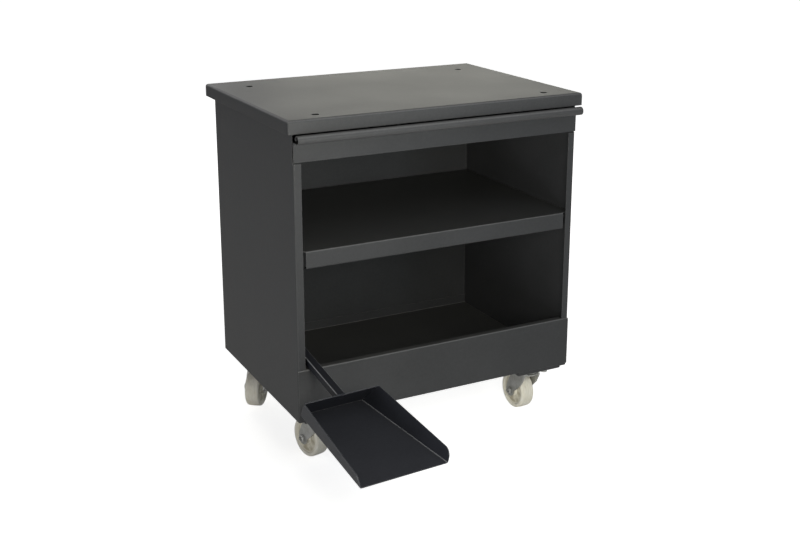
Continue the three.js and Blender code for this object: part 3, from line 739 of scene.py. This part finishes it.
# %% [markdown]
# ## Lids and troughs
#
# The top is a lid: a flat face, edges turned down all round with a soft radius, welded and ground
# corners, and four holes. The drawer's tray and the two troughs that carry the casters are the
# same form upside down. A lid is lofted from rounded rectangles, outside first and then inside,
# which keeps every corner smooth; bevelling a box would not give two radii. The top's front edge
# has a coat of its own, painted paler there as if more strongly lit.

# %% Rounded loops and lids
CORNER_STEPS = 6
LEAST_FOLD, LEAST_CORNER = 0.4, 0.3


def rounded_loop(x0, x1, y0, y1, radius, z):
    """Points round a rectangle with round corners."""
    corners = ((x1, y0, -90), (x1, y1, 0), (x0, y1, 90), (x0, y0, 180))
    points = []
    for x, y, first in corners:
        cx = x - math.copysign(radius, x - (x0 + x1) / 2)
        cy = y - math.copysign(radius, y - (y0 + y1) / 2)
        for c, s in arc(first, first + 90, CORNER_STEPS):
            points.append((cx + radius * c, cy + radius * s, z))
    return points


def lid(x0, x1, y0, y1, rim, face, wall, corner, radius):
    """A shallow box, open at the height rim and closed at the height face."""
    way = math.copysign(1, face - rim)

    def skin(inset, reach, edge):
        round_edge = arc(0, 90, FOLD_STEPS)
        rows = [(inset + edge * (1 - c), reach - way * edge * (1 - s)) for c, s in round_edge]
        return [(inset, rim)] + rows

    outside = skin(0, face, radius)
    inside = skin(wall, face - way * wall, max(radius - wall, LEAST_FOLD))
    loops = []
    for inset, z in outside[::-1] + inside:
        soft = max(corner - inset, LEAST_CORNER)
        loops.append(rounded_loop(x0 + inset, x1 - inset, y0 + inset, y1 - inset, soft, z))
    return loft(loops)


print("a lid's corner has", CORNER_STEPS, "facets")

# %% Make the top
TOP, TOP_SKIRT = 684.0, 25.0
TOP_HALF, TOP_FRONT, TOP_BACK = 311.0, -6.0, 438.0
HOLE_X, HOLE_FRONT, HOLE_BACK, HOLE_RADIUS = 243.0, 30.0, 363.0, 7.0
DRILL_IN, DRILL_OUT = 5.0, 3.0
# the top's front face is painted paler by this share, as painted light
FRONT_LIGHTENING = 0.22
top = lid(
    -TOP_HALF, TOP_HALF, TOP_FRONT, TOP_BACK, TOP - TOP_SKIRT, TOP, wall=2.0, corner=3.5, radius=6.0
)
drills = [
    bar(HOLE_RADIUS, TOP - DRILL_IN, TOP + DRILL_OUT, (x, y))
    for x in (-HOLE_X, HOLE_X)
    for y in (HOLE_FRONT, HOLE_BACK)
]
top = combine(top, "DIFFERENCE", *drills)


def front_and_fold_highlight(where):
    """1 on upward folds, a painted highlight, and a little on the front edge, painted light."""
    _, y, _ = surface_normal(where).parts()
    return fold_highlight_mask(where).larger(FRONT_LIGHTENING * (0 - y).between(*SQUARE_ON))


top_coat = charcoal_coat("charcoal_powder_coat_lit_front", front_and_fold_highlight)
add_sheet("top", top, "top_panel", finish=top_coat, edge=0.5, steps=3)
print("the top has", len(drills), "holes")

# %% Make the tray and the caster troughs
TRAY_HALF, TRAY_BACK, TRAY_RIM, TRAY_BOTTOM = 285.5, 388.7, 644.5, 610.5
TROUGH_HALF, TROUGH_FRONT, TROUGH_BACK = 52.0, 1.8, 413.2
TROUGH_RIM, TROUGH_BOTTOM = 115.3, 105.3
tray = lid(
    -TRAY_HALF, TRAY_HALF, 0, TRAY_BACK, TRAY_RIM, TRAY_BOTTOM, wall=1.2, corner=3.0, radius=2.2
)
add_sheet("tray", tray, "drawer_tray", "drawer", edge=0.3)
for hand, sign in SIDES:
    left, right = sign * PIVOT_X - TROUGH_HALF, sign * PIVOT_X + TROUGH_HALF
    depth, heights = (TROUGH_FRONT, TROUGH_BACK), (TROUGH_RIM, TROUGH_BOTTOM)
    trough = lid(left, right, *depth, *heights, wall=2.0, corner=3.5, radius=3.0)
    add_sheet(f"trough_{hand}", trough, f"caster_rail_{hand}")
print("made the tray and two troughs")

# %% [markdown]
# ## Drawer face
#
# The face has no handle. Its top edge is folded forward and rolled into a bead that fingers can
# pull on. A rod could be set on the edge instead, but here the line simply goes on round the bead,
# so face and pull are one sheet, as on the real drawer. The bead is painted a little paler all
# over, a painted highlight.

# %% Roll the drawer's face
ROLL_CENTRE = Vector((-18.0, 651.0))
ROLL_RADIUS = (16.0 - SHEET) / 2
ROLL_SWEEP = math.radians(285)
ROLL_STEPS = 40
FACE_HALF = 299.5
# the second number: how much paler the bead is painted all over, a painted highlight
BEAD_EDGE, BEAD_HIGHLIGHT = (0.0080, 0.0095), 0.25
FACE_BOTTOM = FLANGE_TOP + 3
under = ROLL_CENTRE.y - ROLL_RADIUS
line = fold_line([(FACE, FACE_BOTTOM), (FACE, under), (ROLL_CENTRE.x, under)])
first = line[-1] - ROLL_CENTRE
line += [
    ROLL_CENTRE + Matrix.Rotation(-ROLL_SWEEP * step / ROLL_STEPS, 2) @ first
    for step in range(1, ROLL_STEPS + 1)
]
drawer_face = run_sheet(line, "x", -FACE_HALF, FACE_HALF)


def bead_highlight(where):
    """1 on upward folds, and a little all over the bead: both painted highlights."""
    middle = TO_FRAME @ Vector((0, *ROLL_CENTRE))
    reach = from_axis(where.vector("SUBTRACT", where, middle))
    return fold_highlight_mask(where).larger(BEAD_HIGHLIGHT * (1 - reach.between(*BEAD_EDGE)))


pull_coat = charcoal_coat("charcoal_powder_coat_highlit_pull", bead_highlight)
add_sheet("drawer_face", drawer_face, "drawer_front", "drawer", pull_coat)
print("rolled a bead of", 2 * ROLL_RADIUS + SHEET, "mm")

# %% [markdown]
# ## Turned forms
#
# Wheels, races, pins and bolts are turned or moulded round an axis. A profile of (radius, height)
# points is spun round Z, and the Bevel modifier then breaks its edges. A Screw modifier could spin
# it as well, but a plain mesh can be cut and gathered with others straight away.

# %% Spin a profile
CHAMFER_RUN = 1.7


def spin(profile, sides):
    """A closed form of revolution; a profile that leaves the axis is closed on itself."""
    form = bmesh.new()
    rings = []
    for radius, height in profile:
        points = circle(radius, sides if radius > 0 else 1)
        rings.append([form.verts.new((x, y, height)) for x, y in points])
    pairs = list(zip(rings, rings[1:]))
    if profile[0][0] > 0:
        pairs.append((rings[-1], rings[0]))
    for ring, following in pairs:
        for i in range(sides):
            j = (i + 1) % sides
            corners = [ring[i % len(ring)], ring[j % len(ring)]]
            corners += [following[j % len(following)], following[i % len(following)]]
            form.faces.new(list(dict.fromkeys(corners)))
    return form


def hexagon(across, height, chamfer):
    """A bolt head on z = 0, with its far corners chamfered."""
    radius = across / math.sqrt(3)
    levels = ((radius, 0), (radius, height - chamfer), (radius - chamfer * CHAMFER_RUN, height))
    return loft([[(x, y, z) for x, y in circle(r, 6)] for r, z in levels])


def gather(*forms):
    """Several closed forms as one piece."""
    whole = bmesh.new()
    for form in forms:
        mesh = stock_mesh(form)
        whole.from_mesh(mesh)
        bpy.data.meshes.remove(mesh)
    return whole


def moved(form, *steps):
    for step in steps:
        form.transform(step)
    return form


print("lathe ready")

# %% [markdown]
# ## Casters
#
# A caster is a bolted plate, a ball race, a pressed fork that swings on a kingpin, and a wheel on
# an axle bolt. The plate stays with the cabinet, the fork swivels and the wheel rolls, so each is
# its own piece on its own body. The photograph shows the casters left at different angles, which
# is how they stop after the stand has been pushed.

# %% Plate, bolts, race and kingpin
PLATE_BOTTOM, PLATE_TOP, PLATE_HALF, PLATE_CORNER = 102.0, 105.0, 33.0, 6.0
PIN_HOLE = 6.3
BOLT_SPOT, BOLT_HEAD = 24.0, (13.0, 5.3, 0.9)
WASHER_HOLE, WASHER_EDGE, WASHER, SEATED = 4.3, 8.0, 1.5, 0.05
RACE = [
    (PIN_HOLE, 92.7), (21.5, 92.7), (22.6, 93.6), (22.6, 95.2), (20.6, 96.4), (19.8, 97.2),
    (20.6, 98.0), (23.0, 99.2), (23.0, 101.2), (22.4, 101.7), (PIN_HOLE, 101.7),
]
KINGPIN = [
    (0, 85.1), (5.0, 85.3), (8.0, 86.4), (9.8, 88.6), (9.8, 89.1), (6, 89.1), (6, 105), (0, 105),
]


def plate_form():
    sides = (-PLATE_HALF, PLATE_HALF) * 2
    square = [rounded_loop(*sides, PLATE_CORNER, z) for z in (PLATE_BOTTOM, PLATE_TOP)]
    hole = bar(PIN_HOLE, PLATE_BOTTOM - CUT, PLATE_TOP + CUT)
    return combine(loft(square), "DIFFERENCE", hole)


def bolts_form():
    """Four hexagon heads on washers, hanging under the plate."""
    upside_down = Matrix.Rotation(math.pi, 4, "X")
    lower = Matrix.Translation((0, 0, -WASHER - SEATED))
    inside, outside = WASHER_HOLE, WASHER_EDGE
    forms = []
    for x in (-BOLT_SPOT, BOLT_SPOT):
        for y in (-BOLT_SPOT, BOLT_SPOT):
            place = Matrix.Translation((x, y, PLATE_BOTTOM - SEATED))
            turn = Matrix.Rotation(0.3 * x + 0.7 * y, 4, "Z")  # no two heads alike
            washer = spin([(inside, 0), (outside, 0), (outside, WASHER), (inside, WASHER)], 32)
            forms.append(moved(washer, upside_down, place))
            forms.append(moved(hexagon(*BOLT_HEAD), turn, upside_down, lower, place))
    return gather(*forms)


print("bolts are on a", 2 * BOLT_SPOT, "mm square")

# %% [markdown]
# ## Fork
#
# The fork is pressed from one strip: a channel, trimmed to legs that taper down to a round boss at
# the axle, with a round crown above. It is made the same way here: a folded channel, kept only
# inside the side view's outline, joined to a crown, then drilled.

# %% Press the fork
AXLE_HEIGHT, TRAIL = 39.807, 34.0
CROWN_TOP, FORK_SHEET, FORK_BEND = 92.4, 3.0, 4.0
LEG_MIDDLE, LEG_LOW, LEG_RUN = 18.8, 20, (-30, 60)
BOSS, BOSS_STEPS, AXLE_HOLE = 13.0, 12, 5.3
THROUGH, THROUGH_CROWN = (-40, 40), (80, 100)
CROWN = [(0, 89.4), (24.2, 89.4), (25, 90.2), (25, 91.6), (24.2, CROWN_TOP), (0, CROWN_TOP)]


def fork_form():
    crown_level, above = CROWN_TOP - FORK_SHEET / 2, CROWN_TOP + CUT
    section = [(-LEG_MIDDLE, LEG_LOW), (-LEG_MIDDLE, crown_level)]
    section += [(-x, z) for x, z in section[::-1]]
    channel = run_sheet(fold_line(section, FORK_BEND), "y", *LEG_RUN, FORK_SHEET)
    side_view = [(-17.0, above), (-15.5, 84.0), (-6.0, 66.0), (10.0, 50.0), (20.6, 42.0)]
    side_view += [(TRAIL + BOSS * c, AXLE_HEIGHT + BOSS * s) for c, s in arc(180, 360, BOSS_STEPS)]
    side_view += [(46.0, 48.0), (38.0, 66.0), (27.0, 82.0), (23.0, above)]
    trim = loft([[(x, y, z) for y, z in side_view] for x in THROUGH])
    legs = combine(channel, "INTERSECT", trim)
    whole = combine(legs, "UNION", spin(CROWN, 64))
    axle_hole = bar(AXLE_HOLE, *THROUGH, (TRAIL, AXLE_HEIGHT), "x")
    return combine(whole, "DIFFERENCE", bar(PIN_HOLE, *THROUGH_CROWN), axle_hole)


print("fork trails by", TRAIL, "mm")

# %% [markdown]
# ## Axle and wheel
#
# The axle bolt has a head at one end and a nut at the other, whose hole shows dark because the
# thread stops short of its face. The wheel is a spun profile: a crowned tread, round shoulders, a
# dish on each side and a hub that just clears the fork.

# %% Axle bolt and wheel
LEG_FACE, AXLE_RADIUS = 20.6, 5.0
AXLE_HEX = (13.8, 5.0, 0.9)
NUT_HOLE = (4.1, 1.2, 7.0)
ALONG_X, AGAINST_X = (Matrix.Rotation(way * math.pi / 2, 4, "Y") for way in (1, -1))
WHEEL_RADIUS, TREAD_EDGE = 39.79, (39.64, 6.5)
SHOULDER_WIDE, SHOULDER_HIGH, SHOULDER_STEPS = 4.8, 4.4, 8
WHEEL_SIDE = [
    (5.3, 17.0), (11.0, 17.0), (11.8, 16.4), (12.6, 12.2), (13.6, 11.2), (29.6, 11.0),
    (30.8, 11.8), (31.8, 14.2), (32.8, 14.9), (35.0, 15.0),
]


def axle_form():
    ends = [(0, -LEG_FACE), (AXLE_RADIUS, -LEG_FACE), (AXLE_RADIUS, LEG_FACE), (0, LEG_FACE)]
    head, nut = hexagon(*AXLE_HEX), hexagon(*AXLE_HEX)
    nut = combine(nut, "DIFFERENCE", bar(*NUT_HOLE, sides=32))
    return gather(
        moved(spin(ends, 32), ALONG_X),
        moved(head, ALONG_X, Matrix.Translation((LEG_FACE, 0, 0))),
        moved(nut, AGAINST_X, Matrix.Translation((-LEG_FACE, 0, 0))),
    )


def wheel_form():
    """A crowned tread on round shoulders that start where WHEEL_SIDE ends."""
    radius, height = WHEEL_SIDE[-1]
    half = WHEEL_SIDE + [
        (radius + SHOULDER_HIGH * s, height - SHOULDER_WIDE * (1 - c))
        for c, s in arc(0, 90, SHOULDER_STEPS)[1:]
    ]
    half += [TREAD_EDGE, (WHEEL_RADIUS, 2.0)]
    profile = half + [(r, -h) for r, h in half[::-1]]
    return moved(spin(profile, 96), ALONG_X)


print("wheel", 2 * WHEEL_RADIUS, "mm across")

# %% [markdown]
# ## Putting the casters together
#
# The same forms serve all four corners, so one loop places them. The wheel alone keeps its own
# coordinates, round its axle, because its finish measures from there, and is set in place by its
# object's matrix. The other pieces have their place in the mesh itself.

# %% Put the four casters together
# corner, pivot in millimetres, swivel in degrees
CASTERS = [
    ("front_left", -PIVOT_X, PIVOT_FRONT, 12),
    ("front_right", PIVOT_X, PIVOT_FRONT, 1),
    ("rear_left", -PIVOT_X, PIVOT_BACK, 142),
    ("rear_right", PIVOT_X, PIVOT_BACK, 200),
]
for corner, x, y, swivel in CASTERS:
    fixed = TO_FRAME @ Matrix.Translation((x, y, 0))
    turning = fixed @ Matrix.Rotation(math.radians(swivel), 4, "Z")
    axle = turning @ Matrix.Translation((0, TRAIL, AXLE_HEIGHT))
    swings = f"caster_{corner}"
    metal = [
        ("plate", plate_form(), "cabinet", "caster_plate", fixed, 0.5),
        ("race", spin(RACE, 48), "cabinet", "caster_race", fixed, 0.25),
        ("pin", spin(KINGPIN, 32), "cabinet", "kingpin", fixed, 0.3),
        ("bolts", bolts_form(), "cabinet", None, fixed, 0.25),
        ("fork", fork_form(), swings, "fork", turning, 0.6),
        ("axle", axle_form(), swings, "axle_bolt", axle, 0.3),
    ]
    for name, form, body, node, at, edge in metal:
        nodes = [f"{node}_{corner}"] if node else []
        add_piece(f"{name}_{corner}", form, body, "zinc", zinc, nodes, at, edge)
    tyre = wheel_form()
    bmesh.ops.recalc_face_normals(tyre, faces=tyre.faces)
    tyre.transform(Matrix.Scale(MM, 4))
    name, body = f"roller_{corner}", f"wheel_{corner}"
    wheel = finish_piece(name, tyre, body, "wheel_nylon", nylon, [body], 0.5, 3)
    wheel.matrix_world = axle @ Matrix.Scale(1 / MM, 4)
    print("caster", corner, "at", swivel, "degrees")

# %% [markdown]
# ## Shovel pan
#
# The pan is one sheet: a floor, two flared walls with round front corners, and a back wall that
# overhangs. All of them are flat, so the sheet is drawn without thickness as a few ruled faces.
# A first Bevel modifier rounds the marked folds, Solidify gives the thickness, and a second Bevel
# breaks the edges. Building the thickness by hand would need every mitre worked out.

# %% The pan's place and rim
PAN_LENGTH, PAN_SHEET = 257.0, 1.5
PAN_BACK, PAN_FRONT = 125.5 / 2, 167.5 / 2
RIM_BACK, RIM_FRONT, LEAN = 44.5, 24.5, 39.0
PAN_CORNER, CORNER_FEET, PAN_STEPS = 16.0, 0.1, 8
RIM_AHEAD, RIM_ABOVE = 114, 1
FLARE = math.tan(math.radians(12))
TAPER = (PAN_FRONT - PAN_BACK) / PAN_LENGTH
DIP = math.radians(4) - RISE
rim_y = -LEAN * math.cos(DIP) - RIM_BACK * math.sin(DIP)
rim_z = RIM_BACK * math.cos(DIP) - LEAN * math.sin(DIP)
PAN_SPOT = Vector((0, -RIM_AHEAD - rim_y, HANDLE + RIM_ABOVE - rim_z))
AT_PAN = AT_SHOVEL @ Matrix.Translation(PAN_SPOT) @ Matrix.Rotation(DIP, 4, "X")


def pan_rim():
    """The wall's top edge as (y, z) points, from the back wall round the front corner."""
    y, z = PAN_CORNER - PAN_LENGTH, RIM_FRONT - PAN_CORNER
    corner = [(y + PAN_CORNER * c, z + PAN_CORNER * s) for c, s in arc(90, 180, PAN_STEPS)]
    return [(-LEAN, RIM_BACK)] + corner


rim = pan_rim()
print("the pan's rim has", len(rim), "points")

# %% Draw the pan's sheet
FOLD_ANGLE = 0.3
pan = bmesh.new()
corners_made = {}


def pan_corner(sign, y, z):
    """A point on a side wall, made once."""
    point = (sign * (PAN_BACK - TAPER * y + FLARE * z), y, z)
    key = tuple(round(v, 4) for v in point)
    if key not in corners_made:
        corners_made[key] = pan.verts.new(point)
    return corners_made[key]


ahead = [1 - CORNER_FEET + CORNER_FEET * step / PAN_STEPS for step in range(PAN_STEPS + 1)]
feet = [0.0] + [-PAN_LENGTH * share for share in ahead]
ribs = list(zip(feet, rim))
for sign in (-1, 1):
    for (foot, tip), (next_foot, next_tip) in zip(ribs, ribs[1:]):
        around = [(foot, 0), (next_foot, 0), next_tip, tip]
        pan.faces.new([pan_corner(sign, y, z) for y, z in around])
for foot, next_foot in zip(feet, feet[1:]):
    around = [(-1, foot), (1, foot), (1, next_foot), (-1, next_foot)]
    pan.faces.new([pan_corner(sign, y, 0) for sign, y in around])
around = [(-1, 0, 0), (1, 0, 0), (1, -LEAN, RIM_BACK), (-1, -LEAN, RIM_BACK)]
pan.faces.new([pan_corner(*corner) for corner in around])
bmesh.ops.recalc_face_normals(pan, faces=pan.faces)
marks = pan.edges.layers.float.new("bevel_weight_edge")
for fold in pan.edges:
    if len(fold.link_faces) == 2 and fold.calc_face_angle() > FOLD_ANGLE:
        fold[marks] = 1.0
print("the pan's sheet has", len(pan.faces), "faces")

# %% [markdown]
# ## The shovel's coat
#
# The shovel's powder coat is blacker and smoother than the body's. Paint is paler along the pan's
# folds, partly wear and partly a painted highlight, and along the corners of the handle, a painted
# highlight. The handle's coat is darker than the pan's, a painted shade. The shovel lies askew, so
# a mask from the normals would miss the folds and corners. A Mapping node gives coordinates along
# the shovel's own axes, where a fold is a straight line.

# %% Black powder coat
FOLD_REACH = (0.0018, 0.0030)


def own_axes(where, at):
    """Coordinates in metres along the axes of a piece that was placed by a matrix."""
    inputs = {"Vector": where, "Location": at.translation, "Rotation": at.to_euler()}
    return where.node("ShaderNodeMapping", {"vector_type": "TEXTURE"}, inputs).parts()


def black_coat(name, dark, light, wear_and_highlight, highlit_and_rubbed):
    """The shovel's coat."""
    # paler on level faces: a dusty film and a painted sheen
    dust_and_sheen = shade(0.034, 0.034, 0.036)
    return powder_coat(
        name, dark, light, wear_and_highlight, dust_and_sheen, highlit_and_rubbed, roughness=0.45, gloss=0.18, peel_strength=0.08
    )


def pan_fold_wear_and_highlight(where):
    """1 along the folds at the sides of the pan's floor: wear and a painted highlight."""
    x, y, z = own_axes(where, AT_PAN)
    beside = abs(x) + TAPER * y - PAN_BACK * MM
    return 1 - abs(beside).larger(z).between(*FOLD_REACH)


# the pale colour marks the pan's folds: wear and a painted highlight
pan_coat = black_coat(
    "black_powder_coat_worn_and_highlit_in_folds",
    dark=shade(0.0185, 0.0195, 0.025),
    light=shade(0.026, 0.028, 0.036),
    wear_and_highlight=shade(0.23, 0.235, 0.25),
    highlit_and_rubbed=pan_fold_wear_and_highlight,
)

# %% Fold the pan and give it thickness
PAN_FOLD = 2.6
pan.normal_update()
pan.faces.ensure_lookup_table()
if pan.faces[-1].normal.z < 0:
    bmesh.ops.reverse_faces(pan, faces=pan.faces)
pan.transform(AT_PAN)
names = ("scoop", pan, "shovel", "shovel_paint", pan_coat, ["shovel_pan"])
scoop = finish_piece(*names, EDGE_BREAK, 2)
folds = scoop.modifiers.new("folds", "BEVEL")
folds.limit_method = "WEIGHT"
folds.width = PAN_FOLD * MM
folds.segments = 5
plate = scoop.modifiers.new("sheet", "SOLIDIFY")
plate.thickness = PAN_SHEET * MM
plate.offset = -1.0
plate.use_even_offset = True
scoop.modifiers.move(2, 0)
scoop.modifiers.move(3, 1)
print("pan's steps:", [step.name for step in scoop.modifiers])

# %% [markdown]
# ## Handle
#
# The handle is square tube, mitred to lie against the pan's sloping back and welded there. A cap
# closes its tail. Four rings of points, two outside and two inside, make the tube. A Boolean could
# cut the mitre, but each point's reach follows from its height by one line of trigonometry.

# %% Make the handle
HANDLE_CORNER, HANDLE_WALL, HANDLE_TAIL = 2.5, 1.5, 212.0
TUBE_CORNER = (0.0060, 0.0072)
back_slope = math.atan2(RIM_BACK, -LEAN) + DIP


def mitre(z):
    """How far forward the tube reaches at a height, where it meets the back wall."""
    return PAN_SPOT.y + (z - PAN_SPOT.z) / math.tan(back_slope)


def square(inset, corner):
    """The tube's section as (x, z) points."""
    side = HANDLE / 2 - inset
    return [(x, z) for x, z, _ in rounded_loop(-side, side, inset, HANDLE - inset, corner, 0)]


outer, inner = square(0, HANDLE_CORNER), square(HANDLE_WALL, HANDLE_CORNER - HANDLE_WALL)
loops = [
    [(x, mitre(z) if front else HANDLE_TAIL, z) for x, z in section]
    for section, front in ((outer, True), (outer, False), (inner, False), (inner, True))
]
tube = loft(loops, ring=True)


def handle_corner_highlight(where):
    """1 along the tube's four corners, where a highlight is painted."""
    x, _, z = own_axes(where, AT_SHOVEL)
    nearer = where.math("MINIMUM", abs(x), abs(z - HANDLE / 2 * MM))
    return nearer.between(*TUBE_CORNER)


# a darker copy of the pan's coat, a painted shade, with painted highlights on the corners
handle_coat = black_coat(
    "black_powder_coat_shaded_with_highlit_corners",
    dark=shade(0.0105, 0.011, 0.015),
    light=shade(0.016, 0.0175, 0.023),
    wear_and_highlight=shade(0.34, 0.35, 0.37),
    highlit_and_rubbed=handle_corner_highlight,
)
nodes = ["shovel_handle"]
add_piece("handle", tube, "shovel", "shovel_paint", handle_coat, nodes, AT_SHOVEL, 0.25)
print("tube mitred by", round(math.degrees(back_slope) - 90, 1), "degrees")

# %% Make the cap
PLUG, CAP_FACE = 12.0, 3.0
face = HANDLE_TAIL + GAP
end = face + CAP_FACE
# inset, place along the tube, corner radius
steps = [
    (1.9, face - PLUG, 0.8), (1.9, face, 0.8), (0, face, 2.5), (0, end - 1, 2.5), (1.2, end, 1.8),
]
cap = loft([[(x, y, z) for x, z in square(inset, corner)] for inset, y, corner in steps])
add_piece("cap", cap, "shovel", "plug_plastic", cap_plastic, ["handle_plug"], AT_SHOVEL, 0.2)
print("cap ends", round(end - HANDLE_TAIL, 1), "mm past the tube")

# %% [markdown]
# ## Weld
#
# A bead of weld runs round the joint of handle and pan. A plain curve with a round bevel would look
# like wire, so a ring of points is swept round the joint instead: its radius swells and shrinks in
# small ripples, one for each dip of the rod.

# %% Lay the weld
RIPPLES, RIPPLE_STEPS, BEAD, BEAD_SIDES = 34, 4, 1.9, 10
RIPPLE, WANDER, WANDER_PACE = 0.14, 0.05, 0.37
around = [Vector((x, z)) for x, z in outer]
lengths = [0.0]
for a, b in zip(around, around[1:] + around[:1]):
    lengths.append(lengths[-1] + (b - a).length)
loops = []
weld_steps = RIPPLE_STEPS * RIPPLES
for step in range(weld_steps):
    travel = lengths[-1] * step / weld_steps
    i = max(k for k in range(len(around)) if lengths[k] <= travel)
    share = (travel - lengths[i]) / max(lengths[i + 1] - lengths[i], 1e-6)
    here = around[i].lerp(around[(i + 1) % len(around)], share)
    outward = (here - Vector((0, HANDLE / 2))).normalized()
    ripple = RIPPLE * math.cos(2 * math.pi * step / RIPPLE_STEPS)
    swell = BEAD * (1 + ripple + WANDER * math.sin(WANDER_PACE * step))
    bead = [(here + outward * u, mitre(here.y) + v) for u, v in circle(swell, BEAD_SIDES)]
    loops.append([(spread.x, y, spread.y) for spread, y in bead])
weld = loft(loops, ring=True)
add_piece("weld", weld, "shovel", "shovel_paint", pan_coat, at=AT_SHOVEL, edge=0)
print("weld of", round(lengths[-1]), "mm")

# %% [markdown]
# ## Floor and backdrop
#
# The photograph is a studio shot on white. A pale sheet keeps the stand's soft shadow. Only a very
# bright floor would show as white, and its light would wash out the dark paint. So the sheet has a
# glow, and the world is white, but only for rays straight from the camera, through glass or off a
# shiny surface. Soft light sees neither, and a shiny surface sees them much dimmer, as in a real
# studio. The glow is weaker near the stand, where the lamps do the rest, so the shadow is kept.

# %% Pale floor
GLOW_NEAR, GLOW_FAR = 0.80, 0.93
GLOW_REACH = (0.5, 1.4)
FLOOR_IN_SHINE, WORLD_IN_SHINE = 0.12, 0.42
SOFT_LIGHT = 0.10
FLOOR_HALF = 45.0


def show(tree, output, dim, bright, in_shine):
    """Send one shader to soft light, and another to rays that see it directly."""
    path = tree.nodes.new("ShaderNodeLightPath").outputs
    kinds = ("Is Camera Ray", "Is Transmission Ray", "Is Glossy Ray")
    camera_ray, clear_ray, shiny_ray = (Socket(tree, path[kind]) for kind in kinds)
    direct = camera_ray.larger(clear_ray).larger(in_shine * shiny_ray)
    blend = direct.node("ShaderNodeMixShader", {}, {0: direct, 1: dim, 2: bright})
    plug(tree.nodes[output].inputs["Surface"], blend)


paper = bpy.data.materials.new("white_floor")
paper.use_nodes = True
root = Socket(paper.node_tree)
sheet = root.node("ShaderNodeBsdfDiffuse", {}, {"Color": shade(0.86, 0.86, 0.86)})
away = root.node("ShaderNodeTexCoord", {}, {}, "Object").length()
near, far = (shade(level, level, level) for level in (GLOW_NEAR, GLOW_FAR))
glow = root.node("ShaderNodeEmission", {}, {"Color": mix(away.between(*GLOW_REACH), near, far)})
glowing = root.node("ShaderNodeAddShader", {}, {0: sheet, 1: glow})
show(paper.node_tree, "Material Output", sheet, glowing, FLOOR_IN_SHINE)

ground = bmesh.new()
bmesh.ops.create_grid(ground, x_segments=8, y_segments=8, size=FLOOR_HALF)
mesh = to_mesh("floor_sheet", ground)
mesh.materials.append(paper)
floor_sheet = put("floor_sheet", mesh)
print("floor is", 2 * FLOOR_HALF, "m wide")

# %% White world
world = bpy.data.worlds.new("white_studio")
bpy.context.scene.world = world
world.use_nodes = True
root = Socket(world.node_tree)
dim, bright = (
    root.node("ShaderNodeBackground", {}, {"Color": shade(1, 1, 1), "Strength": strength})
    for strength in (SOFT_LIGHT, 1.0)
)
show(world.node_tree, "World Output", dim, bright, WORLD_IN_SHINE)
print("world lights with", SOFT_LIGHT, "and shows as white")

# %% [markdown]
# ## Lamps
#
# The photograph's light comes from in front and is low: it reaches the back of the compartments
# and hardly touches the shelf. So a warm key hangs close in front at the left, with a bluish fill
# at the right, a faint lamp above them for the folds, and one near the floor for the wheels. A warm
# lamp behind shows as a sheen on the top. The rest hang over the stand and well away on its other
# sides, so that it can be walked round, and no lamp shows itself to the camera.

# %% Soft lamps
WHITE = (1.0, 1.0, 1.0)
# name, place and width in metres, power in watts, colour
LAMPS = [
    ("key", (-0.28, -1.0, 0.68), 0.5, 6.9, (1.0, 0.99, 0.90)),
    ("fill", (0.9, -2.1, 0.6), 0.6, 3.0, (0.74, 0.87, 1.0)),
    ("sheen", (1.25, 2.2, 1.15), 1.5, 8.6, (1.0, 0.99, 0.86)),
    ("high", (0.3, -0.8, 1.45), 0.7, 1.6, (0.86, 0.92, 1.0)),
    ("over", (0.1, 0.4, 2.5), 1.6, 5.0, WHITE),
    ("low", (-1.3, -0.9, 0.14), 0.25, 2.8, WHITE),
    ("left", (-3.2, -1.2, 0.25), 1.2, 10.5, WHITE),
    ("right", (3.4, 0.3, 0.8), 1.8, 20.0, WHITE),
    ("back", (0.0, 3.8, 1.6), 1.8, 15.0, WHITE),
]
TARGET = Vector((0.0, 0.1, 0.4))
for name, spot_at, size, power, colour in LAMPS:
    light = bpy.data.lights.new(name, "AREA")
    light.shape = "DISK"
    light.size = size
    light.energy = power
    light.color = colour
    lamp = put(name, light)
    lamp.location = spot_at
    lamp.visible_camera = False
    lamp.rotation_euler = (TARGET - lamp.location).to_track_quat("-Z", "Y").to_euler()
print("hung", len(LAMPS), "soft lamps")

# %% [markdown]
# ## Camera
#
# The photograph was taken from the left of the front and a little above. The camera could be set by
# eye, but here its place, direction and lens were fitted to the corners of the body. A vertical
# shift frames the stand as the photograph does, without tilting the camera further.

# %% The camera
CAMERA_SPOT = Vector((-1.035538, -1.89999, 1.079))
AZIMUTH, ELEVATION = math.radians(-27.46), math.radians(15.16)
view = bpy.data.cameras.new("photo_view")
view.lens = 52.59
view.sensor_width = 36.0
view.shift_y = -0.0831
camera = put("photo_view", view)
flat = math.cos(ELEVATION)
backward = Vector((math.sin(AZIMUTH) * flat, -math.cos(AZIMUTH) * flat, math.sin(ELEVATION)))
camera.location = CAMERA_SPOT
camera.rotation_euler = (-backward).to_track_quat("-Z", "Y").to_euler()
bpy.context.scene.camera = camera
bpy.context.scene.view_settings.view_transform = "Standard"
print("camera at", list(camera.location))
